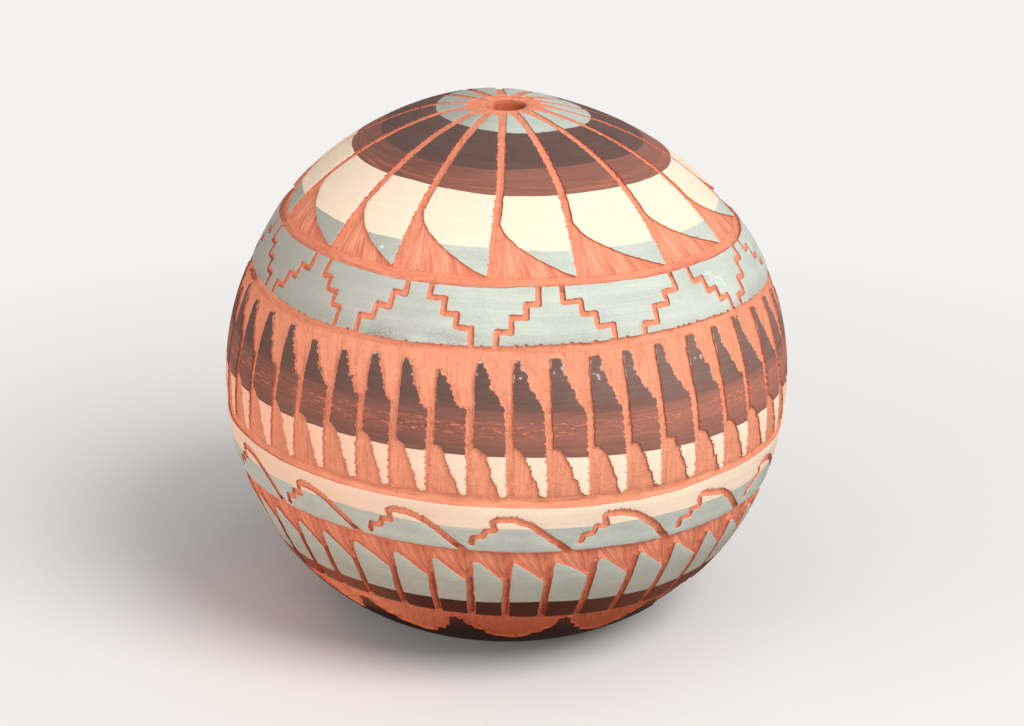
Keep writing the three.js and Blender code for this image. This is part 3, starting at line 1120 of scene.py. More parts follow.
class Shape:
    """Points and faces gathered for one piece, with each face corner's place on its maps."""

    # Where each sort of face lies on the bake map, from and to, up the map
    STRIPS = {"hidden": (0.0, 0.05), "inside": (0.055, 0.09), "wall": (0.1, 0.19), "skin": (0.2, 1)}

    def __init__(self, outline):
        self.outline = outline
        self.places, self.turns, self.downs, self.worn = [], [], [], []
        self.count = 0
        self.faces, self.baked, self.wheel, self.strokes, self.scored = [], [], [], [], []

    def add_points(self, places, turns, downs, worn=0.0):
        first = self.count
        self.places.append(places)
        self.turns.append(turns)
        self.downs.append(downs)
        self.worn.append(np.broadcast_to(worn, len(turns)))
        self.count += len(turns)
        return first + np.arange(len(turns))

    def add_chart_points(self, chart, chosen, depth, worn):
        """Adds the points of a chart's chosen triangles, and numbers each point of the chart."""
        used = np.unique(chart.triangles[chosen])
        turn, down = self.outline.unchart(chart.points[used])
        depth, worn = (np.broadcast_to(value, len(chart.points))[used] for value in (depth, worn))
        numbers = np.full(len(chart.points), -1)
        numbers[used] = self.add_points(self.outline.place(turn, down, depth), turn, down, worn)
        return numbers

    def add_faces(self, corners, sort, stroke_place=None, scored=0.3):
        """Faces as rows of the points' numbers, with their places on the three maps."""
        turns = np.concatenate(self.turns)[corners]
        downs = np.concatenate(self.downs)[corners]
        on_seam = np.abs(turns) > 179.999
        side = np.sign(np.where(on_seam, 0, turns).sum(1))[:, None]
        turns = np.where(on_seam, 180 * side, turns)
        low, high = self.STRIPS[sort]
        if sort == "wall":
            columns = math.ceil(math.sqrt(len(corners) * 6)) or 1
            rows = math.ceil(len(corners) / columns) or 1
            cell = np.arange(len(corners))[:, None]
            across = (cell % columns + np.array([0.1, 0.1, 0.9, 0.9])) / columns
            up = (cell // columns + np.array([0.9, 0.1, 0.1, 0.9])) / rows
        else:
            across = turns / 360 + 0.5
            lowest, highest = downs.min(), downs.max()
            up = (highest - downs) / max(highest - lowest, 1e-6)
        baked = np.stack([across, low + (high - low) * up], -1)
        drawn = self.outline.untipped(turns, downs)
        wheel = np.stack([np.radians(drawn[0]) * WHEEL_RADIUS, drawn[1] / 10], -1)
        strokes = wheel if stroke_place is None else stroke_place(*drawn)
        self.faces.extend(corners.tolist())
        self.scored.append(np.broadcast_to(scored, len(corners)))
        for kept, made in ((self.baked, baked), (self.wheel, wheel), (self.strokes, strokes)):
            kept.append(made.reshape(-1, 2))

    def make(self, name, material):
        """The mesh object, in metres."""
        mesh = bpy.data.meshes.new(name)
        places = np.concatenate(self.places) * MM
        mesh.from_pydata(places.tolist(), [], self.faces)
        for title, made in (("OFBake", self.baked), ("Wheel", self.wheel), ("Strokes", self.strokes)):
            layer = mesh.uv_layers.new(name=title)
            layer.uv.foreach_set("vector", np.concatenate(made).astype(np.float32).ravel())
        mesh.uv_layers["Wheel"].active_render = True
        # On the coats this holds wear; on the clay it holds the painted shade at the walls' feet
        worn = mesh.attributes.new("worn", "FLOAT", "POINT")
        worn.data.foreach_set("value", np.concatenate(self.worn).astype(np.float32))
        scored = mesh.attributes.new("scored", "FLOAT", "FACE")
        scored.data.foreach_set("value", np.concatenate(self.scored).astype(np.float32))
        mesh.shade_smooth()
        mesh.set_sharp_from_angle(angle=SHARP_ANGLE)
        mesh.materials.append(material)
        return new_object(name, mesh)


def stroke_places(outline, strokes, at):
    """A way to place etched faces' corners across and along the tool's strokes, in cm."""

    def place(turns, downs):
        way, own = strokes[:, None], at[:, None]
        degree = outline.degree(downs)
        right = (turns - own + 360 * np.round((own - turns) / 360)) * degree
        across = np.where(way == ROUND_JAR, downs, turns * degree)
        along = np.where(way == ROUND_JAR, turns * degree, downs)
        across = np.where(way == FROM_STAR, turns / 6, across)
        for fan, (aside, centre, spread) in STROKE_FANS.items():
            angle = np.arctan2(right - aside, downs - centre)
            across = np.where(way == fan, angle * spread, across)
            along = np.where(way == fan, np.hypot(right, downs - centre), along)
        return np.stack([across, along], -1) / 10

    return place


def grain(places, scale, offset=0.0):
    """Soft noise at each place, from -1 to 1."""
    shift = Vector((offset, 0, 0))
    return np.array([noise.noise(Vector(place) * scale + shift) for place in places])


def floor_depths(surface):
    """How deep the etched floor lies at each fine point, and the strength of the painted shade, up to
    1, where it meets a step or a coat.
    """
    chart = surface.fine
    etched = is_etched(chart.labels)
    total, count = np.zeros(len(chart.points)), np.zeros(len(chart.points))
    for corner in range(3):
        np.add.at(total, chart.triangles[etched, corner], chart.cuts[etched])
        np.add.at(count, chart.triangles[etched, corner], 1)
    depth = total / np.maximum(count, 1)
    turn, down = surface.outline.unchart(chart.points)
    _, drawn = surface.outline.untipped(turn, down)
    rise = (UNDERCUT_FOOT - drawn) / (UNDERCUT_FOOT - UNDERCUT_TOP)
    undercut = np.where((drawn > UNDERCUT_TOP - 0.6) & (rise > 0), UNDERCUT * np.minimum(rise, 1), 0)
    start, end, left, right = borders(chart.triangles, chart.labels)
    beside_coat = (left >= 0) & (right < 0) & (right != OUTSIDE)
    step = (left < 0) & (right < 0)
    at_coat = np.concatenate([start[beside_coat], end[beside_coat]])
    depth[at_coat] = np.minimum(CUT_FOOT, depth[at_coat])
    depth += undercut
    places = surface.outline.place(turn, down, 0.0)
    depth = depth + 0.05 * grain(places, 0.35) + 0.06 * grain(places, 1.3, 9.0)
    # Painted shade at the feet of the walls: at steps, beside coats, and darkest along the listed
    # ring edges
    creased = np.zeros(len(chart.points))
    creased[np.concatenate([start[step], end[step]])] = CREASE_AT_STEP
    creased[at_coat] = CREASE_AT_COAT
    for length, near in DARK_EDGES:
        creased[at_coat[np.abs(drawn[at_coat] - length) < near]] = 1.0
    at_mouth = down < surface.ends[0] + 0.01
    return np.where(at_mouth, LIP_DEPTH, depth), np.where(at_mouth, 0.0, creased)


def top_depths(surface):
    """How far the slip's face lies below the outline at each fine point, and how much it is rubbed.
    """
    chart = surface.fine
    start, end, left, right = borders(chart.triangles, chart.labels)
    edge = (left >= 0) & (right < 0)
    near = np.unique(np.concatenate([start[edge], end[edge]]))
    turn, down = surface.outline.unchart(chart.points[near])
    chips = grain(surface.outline.place(turn, down, 0.0), 1.1, 3.0)
    depth, worn = np.zeros(len(chart.points)), np.zeros(len(chart.points))
    depth[near] = np.clip(WORN_EDGE + 0.05 * chips, 0.01, surface.sizes.coat - 0.04)
    _, drawn = surface.outline.untipped(turn, down)
    on_rim = (drawn > FEATHER_RIMS[0]) & (drawn < FEATHER_RIMS[1])
    worn[near] = np.where(on_rim, RIM_WEAR, EDGE_WEAR)
    places = surface.outline.place(*surface.outline.unchart(chart.points), 0.0)
    for turn, down, radius in RUBBED:
        middle = surface.outline.place(*surface.outline.tipped(turn, down), 0.0)
        away = np.linalg.norm(places - middle, axis=1)
        worn = np.maximum(worn, RUBBED_WEAR * np.clip(RUBBED_REACH - away / radius, 0, 1))
    return depth, worn


def coat_shape(surface, number, depths, worn):
    """One ring of slip: its face, its edges down to the clay, and its underside."""
    fine, coarse = surface.fine, surface.coarse
    shape = Shape(surface.outline)
    above, below = fine.labels == number, coarse.labels == number
    top = shape.add_chart_points(fine, above, depths, worn)
    under = shape.add_chart_points(coarse, below, surface.sizes.coat, 0.0)
    shape.add_faces(top[fine.triangles[above]], "skin")
    shape.add_faces(under[coarse.triangles[below]][:, ::-1], "hidden")
    start, end, left, _ = borders(fine.triangles, fine.labels)
    start, end = start[left == number], end[left == number]
    shape.add_faces(np.stack([top[start], under[start], under[end], top[end]], 1), "wall")
    return shape


def ring_faces(upper, lower):
    """Four-sided faces between two closed rows of points, seen from outside."""
    return np.stack([upper, lower, np.roll(lower, -1), np.roll(upper, -1)], 1)


def turned_row(radius, height, steps):
    turns = np.linspace(-180, 180, steps, endpoint=False)
    return np.stack([*seen_from_above(turns, radius), np.full(steps, height)], 1), turns


def fan_faces(row, middle, facing_up):
    corners = np.stack([row, np.roll(row, -1), np.full(len(row), middle)], 1)
    return corners if facing_up else corners[:, ::-1]


def clay_shape(surface):
    """The clay body: etched floor, seats under the slip, mouth, hollow, rim and foot."""
    fine, coarse = surface.fine, surface.coarse
    shape = Shape(surface.outline)
    etched, covered = is_etched(fine.labels), coarse.labels >= 0
    # The floor's points carry the painted shade at the walls' feet in place of wear
    floor = shape.add_chart_points(fine, etched, *floor_depths(surface))
    place = stroke_places(surface.outline, fine.strokes[etched], fine.at[etched])
    scored = np.array(SCORED)[fine.strokes[etched]]
    scored = np.where(fine.labels[etched] == DEEP, np.minimum(scored, 0.4), scored)
    shape.add_faces(floor[fine.triangles[etched]], "skin", place, scored)
    seat = shape.add_chart_points(coarse, covered, surface.sizes.coat, 1.0)
    shape.add_faces(seat[coarse.triangles[covered]], "hidden")
    start, end, left, right = borders(fine.triangles, fine.labels)
    wall = (left >= 0) & is_etched(right)
    start, end = start[wall], end[wall]
    shape.add_faces(np.stack([seat[start], floor[start], floor[end], seat[end]], 1), "wall")
    add_hollow(shape, surface, floor)
    add_foot(shape, surface, seat)
    return shape


def circle_numbers(surface, length, renamed):
    """The points of the mouth's or the rim's circle, in order of turn."""
    turn, down = surface.outline.unchart(surface.coarse.points[: surface.fixed_count])
    on_circle = np.flatnonzero(np.abs(down - length) < 0.02)
    turn = np.where(turn[on_circle] > 179.99, -180, turn[on_circle])
    return renamed[on_circle[np.argsort(turn)]]


def add_hollow(shape, surface, floor):
    """The mouth's wall and the hollow, down to the middle of the floor inside."""
    sizes = surface.sizes
    row = circle_numbers(surface, surface.ends[0], floor)
    steps = len(row)
    lip = float(surface.outline.at(surface.outline.height, surface.ends[0])) - LIP_DEPTH
    radius, rise = sizes.body_radius - sizes.wall, sizes.crown_rise - sizes.wall
    drop = sizes.widest_height - sizes.floor
    inner = Outline(sizes._replace(body_radius=radius, crown_rise=rise, base_drop=drop))
    start = float(inner.crown_length(sizes.mouth_radius))
    total = float(inner.length[-1])
    count = math.ceil((total - start) / HOLLOW_STEP)
    rows = [(sizes.mouth_radius + 0.2, lip - 0.12), (sizes.mouth_radius, lip - sizes.mouth_bevel)]
    for down in start + (total - start) * np.arange(count) / count:
        rows.append((float(inner.at(inner.radius, down)), float(inner.at(inner.height, down))))
    for number, (radius, height) in enumerate(rows):
        places, turns = turned_row(radius, height, steps)
        after = shape.add_points(places, turns, np.full(steps, HOLLOW_START + number))
        shape.add_faces(ring_faces(after, row), "inside")
        row = after
    bottom, centre = np.array([[0, 0, sizes.floor]]), np.full(1, HOLLOW_MIDDLE)
    middle = shape.add_points(bottom, np.zeros(1), centre)
    shape.add_faces(fan_faces(row, middle[0], True), "inside")


def add_foot(shape, surface, seat):
    """The bare rim below the slip, and the flat foot."""
    sizes = surface.sizes
    row = circle_numbers(surface, surface.ends[1], seat)
    steps = len(row)
    turns = np.linspace(-180, 180, steps, endpoint=False)
    for share in (0.5, 1.0):
        down = surface.ends[1] + (surface.foot - surface.ends[1]) * share
        depth = sizes.coat + (FOOT_DEPTH - sizes.coat) * share
        places = surface.outline.place(turns, np.full(steps, down), depth)
        if share == 1.0:
            places, _ = turned_row(sizes.foot_radius, 0.0, steps)
        after = shape.add_points(places, turns, np.full(steps, down))
        shape.add_faces(ring_faces(row, after), "inside")
        row = after
    half = sizes.foot_radius / 2
    places, turns = turned_row(half, 0.0, steps)
    after = shape.add_points(places, turns, np.full(steps, surface.foot + half))
    shape.add_faces(ring_faces(row, after), "inside")
    middle = shape.add_points(np.zeros((1, 3)), np.zeros(1), np.full(1, surface.foot + 2 * half))
    shape.add_faces(fan_faces(after, middle[0], False), "inside")


class Nodes:
    """Adds joined nodes to a node tree."""

    def __init__(self, tree):
        self.tree = tree

    def add(self, kind, inputs=None, **settings):
        """A node with its settings, and its inputs given by name or number as values or sockets."""
        node = self.tree.nodes.new(kind)
        for name, value in settings.items():
            setattr(node, name, value)
        for name, value in (inputs or {}).items():
            if isinstance(value, bpy.types.NodeSocket):
                self.tree.links.new(value, node.inputs[name])
            else:
                node.inputs[name].default_value = value
        return node

    def made(self, kind, inputs=None, **settings):
        """The first output of a new node."""
        return self.add(kind, inputs, **settings).outputs[0]

    def math(self, operation, first, second=0.0):
        return self.made("ShaderNodeMath", {0: first, 1: second}, operation=operation)

    def product(self, first, *others):
        for other in others:
            first = self.math("MULTIPLY", first, other)
        return first

    def scaled(self, vector, *scale):
        return self.made("ShaderNodeVectorMath", {0: vector, 1: scale}, operation="MULTIPLY")

    def noise(self, vector, scale=1.0, detail=2.0, roughness=0.5):
        inputs = {"Vector": vector, "Scale": scale, "Detail": detail, "Roughness": roughness}
        return self.add("ShaderNodeTexNoise", inputs).outputs["Fac"]

    def levels(self, value, low, high, to_low=0.0, to_high=1.0):
        """The value from one range spread over another, and held inside it."""
        return self.made("ShaderNodeMapRange", {0: value, 1: low, 2: high, 3: to_low, 4: to_high})

    def times(self, colour, *factors):
        """A colour times one factor, or times one for each channel."""
        factors = factors * 3 if len(factors) == 1 else factors
        return self.mix(1.0, colour, (*factors, 1.0), "MULTIPLY")

    def mix(self, share, first, second, blend_type="MIX"):
        """Two colours mixed."""
        inputs = {0: share, 6: first, 7: second}
        node = self.add("ShaderNodeMix", inputs, data_type="RGBA", blend_type=blend_type)
        return node.outputs[2]

    def mixed_values(self, share, first, second):
        return self.made("ShaderNodeMix", {0: share, 2: first, 3: second}, data_type="FLOAT")

    def attribute(self, name):
        return self.add("ShaderNodeAttribute", attribute_name=name).outputs["Fac"]

    def uv_map(self, name):
        return self.made("ShaderNodeUVMap", uv_map=name)

    def parts(self, vector):
        return self.add("ShaderNodeSeparateXYZ", {0: vector}).outputs

    def group(self, tree, inputs):
        return self.add("ShaderNodeGroup", inputs, node_tree=tree).outputs


def new_group(name, inputs, outputs):
    """A shader node group with its float outputs, and its input and output nodes' sockets."""
    tree = bpy.data.node_groups.new(name, "ShaderNodeTree")
    tree.interface.new_socket("Place", in_out="INPUT", socket_type="NodeSocketVector")
    for title, default in inputs:
        socket = tree.interface.new_socket(title, in_out="INPUT", socket_type="NodeSocketFloat")
        socket.default_value = default
    for title in outputs:
        tree.interface.new_socket(title, in_out="OUTPUT", socket_type="NodeSocketFloat")
    nodes = Nodes(tree)
    return nodes, nodes.add("NodeGroupInput").outputs, nodes.add("NodeGroupOutput").inputs


def fired_grain_group():
    """Specks and soft clouds of fired earth, at the size of real grain."""
    nodes, given, made = new_group(
        "Fired Grain", [("Coarseness", 1.0)], ["Cloud", "Speck", "Height"]
    )
    place = nodes.scaled(given["Place"], *PER_METRE)
    size = nodes.math("DIVIDE", 1.0, given["Coarseness"])
    cloud = nodes.noise(place, nodes.product(size, 0.11), 3.0, 0.55)
    grit = nodes.noise(place, nodes.product(size, 3.2), 3.0, 0.6)
    speck = nodes.noise(place, nodes.product(size, 1.7), 2.0, 0.4)
    nodes.tree.links.new(nodes.levels(cloud, 0.3, 0.7), made["Cloud"])
    nodes.tree.links.new(nodes.levels(speck, 0.63, 0.74), made["Speck"])
    nodes.tree.links.new(grit, made["Height"])
    return nodes.tree


def brushed_slip_group():
    """Streaks left by a brush as the jar turned."""
    nodes, given, made = new_group(
        "Brushed Slip", [("Length Down", 0.0), ("Fineness", 1.0)], ["Streak", "Patch"]
    )
    x, y, _ = nodes.parts(given["Place"])
    down = nodes.product(given["Length Down"], given["Fineness"])
    inputs = {0: nodes.product(x, 55), 1: nodes.product(y, 55)}
    for title, stretch, noise_settings in (("Streak", 26, (1.0, 4.0, 0.62)), ("Patch", 5, (0.8,))):
        inputs[2] = nodes.product(down, stretch)
        marks = nodes.noise(nodes.made("ShaderNodeCombineXYZ", inputs), *noise_settings)
        nodes.tree.links.new(nodes.levels(marks, 0.3, 0.7), made[title])
    return nodes.tree


def edge_wear_group():
    """Where a coat is rubbed thin, from the mark that its edges carry."""
    nodes, given, made = new_group("Edge Wear", [("Worn", 0.0), ("Amount", 0.5)], ["Mask"])
    broken = nodes.noise(nodes.scaled(given["Place"], *PER_METRE), 1.1)
    start = nodes.math("SUBTRACT", 1.0, given["Amount"])
    reach = nodes.product(given["Worn"], nodes.levels(broken, 0.3, 0.6))
    mask = nodes.levels(reach, start, nodes.math("ADD", start, 0.35))
    nodes.tree.links.new(mask, made["Mask"])
    return nodes.tree


def shade(colour, *factors):
    """The colour times one factor, or times one for each channel."""
    factors = factors * 3 if len(factors) == 1 else factors
    return (*[min(1.0, channel * factor) for channel, factor in zip(colour, factors)], 1.0)


class PatternPlaces:
    """Values on the pattern to lay tints by, in cm, that meet without a seam at the back."""

    def __init__(self, nodes, colours):
        self.nodes, self.colours = nodes, colours
        turned, self.down, _ = nodes.parts(nodes.uv_map("Wheel"))
        turn = nodes.math("DIVIDE", turned, WHEEL_RADIUS)
        self.across = nodes.product(nodes.math("SINE", turn), WHEEL_RADIUS)
        front = nodes.product(nodes.math("COSINE", turn), WHEEL_RADIUS)
        inputs = {0: self.across, 1: self.down, 2: front}
        self.vector = nodes.made("ShaderNodeCombineXYZ", inputs)

    def noise(self, scale, detail=2.0, roughness=0.5):
        return self.nodes.noise(self.nodes.scaled(self.vector, *scale), 1.0, detail, roughness)

    def value(self, kind):
        """A value by its name, or a noise by its scale, detail and roughness."""
        if kind == ACROSS:
            return self.across
        if kind == DOWN:
            return self.down
        if kind == WAVERED:
            waver = self.nodes.levels(self.noise((1.2, 9, 1.2), 3.0, 0.6), 0.2, 0.8, -0.12, 0.12)
            return self.nodes.math("ADD", self.down, waver)
        return self.noise(*kind)

    def share(self, ranges):
        """How much of a tint there is: the product of some values, each with its levels."""
        found = [self.nodes.levels(self.value(kind), *levels) for kind, *levels in ranges]
        return self.nodes.product(*found)

    def tinted(self, colour, tints):
        for name, factors, *ranges in tints:
            if name:
                tint = shade(getattr(self.colours, name), *factors)
            else:
                tint = self.nodes.times(colour, *factors)
            colour = self.nodes.mix(self.share(ranges), colour, tint)
        return colour


def emptied(holder):
    """The nodes of a new material or world, with none in it yet."""
    holder.use_nodes = True
    holder.node_tree.nodes.clear()
    return Nodes(holder.node_tree)


def new_material(name, roughness, shine):
    """A material with its nodes, its shader, and places on the object."""
    material = bpy.data.materials.new(name)
    nodes = emptied(material)
    inputs = {"Roughness": roughness, "Specular IOR Level": shine}
    shader = nodes.add("ShaderNodeBsdfPrincipled", inputs)
    nodes.add("ShaderNodeOutputMaterial", {0: shader.outputs[0]})
    return material, nodes, shader, nodes.add("ShaderNodeTexCoord").outputs["Object"]


def join(nodes, shader, colour, heights, strength, distance):
    """Joins the colour and a bump, from the sum of some heights, to the shader."""
    height = heights[0]
    for other in heights[1:]:
        height = nodes.math("ADD", height, other)
    bump = {"Height": height, "Strength": strength, "Distance": distance * MM}
    nodes.tree.links.new(colour, shader.inputs["Base Color"])
    nodes.tree.links.new(nodes.made("ShaderNodeBump", bump), shader.inputs["Normal"])


class Finishes:
    """The materials, with the node groups that they share."""

    def __init__(self, colours, finish):
        self.colours = colours
        self.finish = finish
        self.grain = fired_grain_group()
        self.brushed = brushed_slip_group()
        self.wear = edge_wear_group()

    def clay(self):
        """Fired terracotta with the etching tool's marks, and painted light and shade on it."""
        material, nodes, shader, place = new_material("fired_clay", 0.9, 0.25)
        grain_made = nodes.group(self.grain, {"Place": place, "Coarseness": 1.0})
        strokes, scored = nodes.uv_map("Strokes"), nodes.attribute("scored")
        fine = nodes.noise(nodes.scaled(strokes, 19, 1.8, 1))
        rib = nodes.noise(nodes.scaled(strokes, 9.5, 0.8, 1), 1.0, 1.5, 0.45)
        scrape = nodes.noise(nodes.scaled(place, *PER_METRE), 0.8, 3.0, 0.55)
        off_ridge = nodes.math("ABSOLUTE", nodes.math("SUBTRACT", rib, 0.5))
        ridge = nodes.product(nodes.levels(off_ridge, 0.0, 0.08, 1.0, 0.0), scored)
        groove = nodes.product(nodes.levels(off_ridge, 0.1, 0.2), scored)
        marks = nodes.math("ADD", nodes.product(fine, 0.5), nodes.product(rib, 0.5))
        marks = nodes.mixed_values(nodes.levels(scored, 0.0, 1.0, 0.25, 0.95), scrape, marks)
        broken_ridge = nodes.product(ridge, nodes.levels(fine, 0.38, 0.58, 0.35, 1.0))
        # Painted shade along the foot of each etched wall, from the points' attribute
        crease = nodes.levels(nodes.attribute("worn"), 0.3, 1.0)
        crease = nodes.product(crease, nodes.levels(fine, 0.2, 0.8, 1.0, 0.6))
        base = self.colours.clay
        colour = nodes.mix(grain_made["Cloud"], shade(base, 0.95), shade(base, 1.05))
        # Darker where the tool's marks lie low and paler on their ridges, as painted shade and
        # highlight; then grain specks, and painted shade along the walls' feet
        for share, factors in (
            (nodes.levels(marks, 0.34, 0.5, 0.5, 0.0), (0.74, 0.58, 0.54)),
            (nodes.product(groove, 0.5), (0.74, 0.58, 0.54)),
            (broken_ridge, (1.35, 1.5, 1.6)),
            (nodes.product(grain_made["Speck"], 0.35), (0.6, 0.45, 0.4)),
            (nodes.product(crease, self.finish.crease_strength), (0.55, 0.36, 0.3)),
        ):
            colour = nodes.mix(share, colour, shade(base, *factors))
        # Tints by height and side: painted light at the top and lower left, painted shade and warm
        # bounce toward the base
        colour = PatternPlaces(nodes, self.colours).tinted(colour, CLAY_TINTS_AND_PAINTED_LIGHT)
        heights = marks, nodes.product(ridge, 0.25), nodes.product(grain_made["Height"], 0.3)
        join(nodes, shader, colour, heights, self.finish.stroke_strength, 0.5)
        return material

    def slip(self, name):
        """A brushed coat of slip: streaks, soft patches, specks, tints, painted light, and rubbed
        edges.
        """
        streaks, mottle, wear, shine, rubbed = SLIPS[name]
        material, nodes, shader, place = new_material(f"{name}_slip", 0.75, shine)
        grain_made = nodes.group(self.grain, {"Place": place, "Coarseness": 0.7})
        places = PatternPlaces(nodes, self.colours)
        inputs = {"Place": place, "Length Down": places.down, "Fineness": 1.0}
        brushed = nodes.group(self.brushed, inputs)
        inputs = {"Place": place, "Worn": nodes.attribute("worn"), "Amount": wear}
        worn = nodes.group(self.wear, inputs)["Mask"]
        base = getattr(self.colours, name)
        cloud = nodes.mix(0.5, brushed["Patch"], grain_made["Cloud"])
        colour = nodes.mix(cloud, shade(base, 1 - mottle), shade(base, 1 + mottle))
        dust = nodes.levels(grain_made["Height"], 0.4, 0.6)
        for share, factor in (
            (nodes.levels(brushed["Streak"], 0.0, 0.5, streaks, 0.0), 0.6),
            (nodes.levels(brushed["Streak"], 0.5, 1.0, 0.0, streaks), 1.35),
            (nodes.product(dust, mottle * 2.5), 1.3),
            (nodes.product(grain_made["Speck"], 0.3), 0.6),
        ):
            colour = nodes.mix(share, colour, shade(base, factor))
        # Tints, among them painted light and shade on the slip's sides and lower bands
        colour = places.tinted(colour, SLIP_TINTS_AND_PAINTED_LIGHT[name])
        if name == "brown":
            colour = self.scratched(nodes, places, colour)
        rubbed_name, *factors = rubbed
        colour = nodes.mix(worn, colour, shade(getattr(self.colours, rubbed_name), *factors))
        heights = nodes.product(brushed["Streak"], 0.5), nodes.product(grain_made["Height"], 0.8)
        join(nodes, shader, colour, heights, self.finish.streak_strength, 0.12)
        return material

    def scratched(self, nodes, places, colour):
        """Short bright scratches, level or slanted, along the middle of the belly's brown."""
        turned = {0: places.vector, 2: (0, 0, SCRATCH_SLANT), 3: (7, 26, 7)}
        slanted = nodes.noise(nodes.made("ShaderNodeMapping", turned))
        level = nodes.levels(places.noise((3.2, 30, 3.2)), 0.6, 0.68, 0.0, 0.9)
        marks = nodes.math("MAXIMUM", nodes.levels(slanted, 0.59, 0.66), level)
        share = nodes.product(marks, places.share(SCRATCHED))
        return nodes.mix(share, colour, shade(self.colours.clay, *SCRATCH_TINT))


def straight(value):
    """One channel of a colour as seen on a screen, made linear for Blender."""
    return value / 12.92 if value <= 0.04045 else ((value + 0.055) / 1.055) ** 2.4


def properties(table, make):
    """A property for each row of a table of names, descriptions and values."""
    return {
        name: make(name=name.replace("_", " ").title(), description=description, **given)
        for name, description, given in table
    }


def length(millimetres):
    return dict(default=millimetres * MM, min=0.0, precision=5, unit="LENGTH", subtype="DISTANCE")


def seen_colour(*seen):
    colour = [straight(channel / 255) for channel in seen]
    return dict(default=colour, min=0.0, max=1.0, size=3, subtype="COLOR")


def factor(value):
    return dict(default=value, min=0.0, max=1.0, subtype="FACTOR")


class SeedJarSizes(bpy.types.PropertyGroup):
    """Sizes of the jar."""

    __annotations__ = properties(
        [(name, description, length(size)) for name, description, size in JAR_SIZES],
        bpy.props.FloatProperty,
    )


class SeedJarColours(bpy.types.PropertyGroup):
    """Colours of the clay, the slips and the floor."""

    __annotations__ = properties(
        [(name, description, seen_colour(*seen)) for name, description, *seen in JAR_COLOURS],
        bpy.props.FloatVectorProperty,
    )


class SeedJarFinish(bpy.types.PropertyGroup):
    """How strong the marks in the surface are."""

    __annotations__ = properties(
        [(name, description, factor(value)) for name, description, value in JAR_FINISH],
        bpy.props.FloatProperty,
    )


_made = {}


def shared(context):
    """The surface and materials for the panel's present values, made once for each set."""
    settings = context.scene
    values = [getattr(settings.seed_jar_sizes, name) / MM for name in Sizes._fields]
    sizes = Sizes(*[round(value, 4) for value in values])
    if _made.get("sizes") != sizes:
        _made["sizes"] = sizes
        _made["surface"] = Surface(sizes)
    if "finishes" not in _made:
        _made["finishes"] = Finishes(settings.seed_jar_colours, settings.seed_jar_finish)
    return _made["surface"], _made["finishes"]


class SEEDJAR_OT_clay_body(bpy.types.Operator):
    """Make the clay body with everything that is etched into it"""

    bl_idname = "seedjar.clay_body"
    bl_label = "Clay Body"

    def execute(self, context):
        surface, finishes = shared(context)
        piece = clay_shape(surface).make("etched_clay_body", finishes.clay())
        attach(piece, "root")
        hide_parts("clay_body")
        return {"FINISHED"}


class SEEDJAR_OT_slip_coats(bpy.types.Operator):
    """Make the rings of coloured slip"""

    bl_idname = "seedjar.slip_coats"
    bl_label = "Coats of Slip"

    def execute(self, context):
        surface, finishes = shared(context)
        materials = {name: finishes.slip(name) for name in SLIPS}
        depths, worn = top_depths(surface)
        for number, name in enumerate(COATS):
            slip = name.split("_")[1]
            piece = coat_shape(surface, number, depths, worn).make(f"{name}_coat", materials[slip])
            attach(piece, "root")
            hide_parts(f"{name}_slip")
        return {"FINISHED"}


def camera_sees(nodes):
    """1 where the camera sees a surface, straight or through a gloss or glass, and otherwise 0."""
    rays = nodes.add("ShaderNodeLightPath").outputs
    seen = nodes.math("MAXIMUM", rays["Is Camera Ray"], rays["Is Glossy Ray"])
    return nodes.math("MAXIMUM", seen, rays["Is Transmission Ray"])


def place_object(name, data, location, looking):
    """An object in the scene that looks one way."""
    placed = new_object(name, data)
    placed.location = location
    placed.rotation_mode = "QUATERNION"
    placed.rotation_quaternion = looking.to_track_quat("-Z", "Y")
    return placed


def add_lamp(name, place, target, size, power, tint):
    light = bpy.data.lights.new(name, "AREA")
    light.shape = "DISK"
    light.size = size
    light.energy = power
    light.color = tint
    place_object(name, light, place, Vector(target) - Vector(place))


def add_floor(colour):
    """A plain floor: lit near the jar, where its shadow falls, and one even colour far from it."""
    corners = [(x * FLOOR_HALF, y * FLOOR_HALF, 0) for x, y in ((-1, -1), (1, -1), (1, 1), (-1, 1))]
    mesh = bpy.data.meshes.new("floor")
    mesh.from_pydata(corners, [], [(0, 1, 2, 3)])
    material = bpy.data.materials.new("pale_floor")
    nodes = emptied(material)
    seen = camera_sees(nodes)
    plain = shade(colour, 1.0)
    tone = nodes.mix(seen, shade(colour, *BOUNCE), plain)
    lit = nodes.made("ShaderNodeBsdfDiffuse", {"Color": tone})
    even = nodes.made("ShaderNodeEmission", {"Color": plain})
    place = nodes.add("ShaderNodeTexCoord").outputs["Object"]
    away = nodes.add("ShaderNodeVectorMath", {0: place}, operation="LENGTH").outputs["Value"]
    far = nodes.product(nodes.levels(away, *SHADOW_FADE), seen)
    mixed = nodes.made("ShaderNodeMixShader", {0: far, 1: lit, 2: even})
    nodes.add("ShaderNodeOutputMaterial", {0: mixed})
    mesh.materials.append(material)
    floor = new_object("floor", mesh)


def light_world():
    world = bpy.data.worlds.new("studio")
    nodes = emptied(world)
    strength = nodes.mixed_values(camera_sees(nodes), WORLD_LIGHT, 1.0)
    light = nodes.made("ShaderNodeBackground", {"Color": (1, 1, 1, 1), "Strength": strength})
    nodes.add("ShaderNodeOutputWorld", {0: light})
    bpy.context.scene.world = world


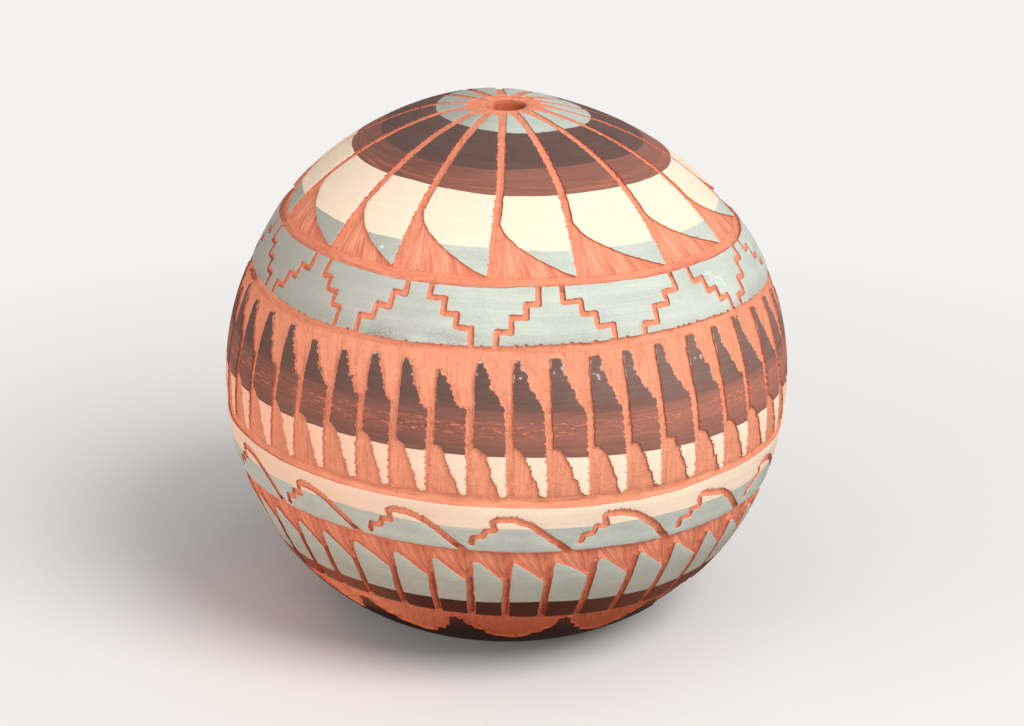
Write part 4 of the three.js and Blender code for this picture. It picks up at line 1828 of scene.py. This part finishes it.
def add_camera(sizes):
    """The photograph's view: a little above the jar, from in front."""
    centre = Vector((0, 0, sizes.widest_height - CAMERA_DROP)) * MM
    away = Vector((0, -math.cos(VIEW_ELEVATION), math.sin(VIEW_ELEVATION)))
    data = bpy.data.cameras.new("camera")
    data.sensor_width = SENSOR_WIDTH
    data.lens = FOCAL_PIXELS / PHOTO_WIDTH * SENSOR_WIDTH
    data.shift_x, data.shift_y = (pixels / PHOTO_WIDTH for pixels in CAMERA_SHIFT)
    data.clip_start, data.clip_end = CAMERA_CLIP
    location = centre + away * CAMERA_DISTANCE * MM
    bpy.context.scene.camera = place_object("camera", data, location, -away)


class SEEDJAR_OT_stage(bpy.types.Operator):
    """Make the pale floor, the lamps and the camera"""

    bl_idname = "seedjar.stage"
    bl_label = "Stage"

    def execute(self, context):
        surface, _ = shared(context)
        add_floor(context.scene.seed_jar_colours.backdrop[:])
        light_world()
        for lamp in LAMPS:
            add_lamp(*lamp)
        add_camera(surface.sizes)
        context.scene.view_settings.view_transform = "Standard"
        return {"FINISHED"}


class SEEDJAR_PT_panel(bpy.types.Panel):
    """Lists the jar's pieces, sizes and colours"""

    bl_idname = "SEEDJAR_PT_panel"
    bl_label = "Etched Seed Jar"
    bl_space_type = "VIEW_3D"
    bl_region_type = "UI"
    bl_category = "Seed Jar"

    def draw(self, context):
        for operator in (SEEDJAR_OT_clay_body, SEEDJAR_OT_slip_coats, SEEDJAR_OT_stage):
            self.layout.operator(operator.bl_idname)
        for title in SETTINGS:
            settings = getattr(context.scene, title)
            box = self.layout.box()
            for name in settings.__annotations__:
                box.prop(settings, name)


SETTINGS = {
    "seed_jar_sizes": SeedJarSizes,
    "seed_jar_colours": SeedJarColours,
    "seed_jar_finish": SeedJarFinish,
}
CLASSES = (
    *SETTINGS.values(),
    SEEDJAR_OT_clay_body,
    SEEDJAR_OT_slip_coats,
    SEEDJAR_OT_stage,
    SEEDJAR_PT_panel,
)


def register():
    for made in CLASSES:
        bpy.utils.register_class(made)
    for name, group in SETTINGS.items():
        setattr(bpy.types.Scene, name, bpy.props.PointerProperty(type=group))


def unregister():
    for name in SETTINGS:
        delattr(bpy.types.Scene, name)
    for made in reversed(CLASSES):
        bpy.utils.unregister_class(made)


def main():
    register()
    bpy.ops.seedjar.clay_body()
    bpy.ops.seedjar.slip_coats()
    bpy.ops.seedjar.stage()


if __name__ == "__main__":
    main()
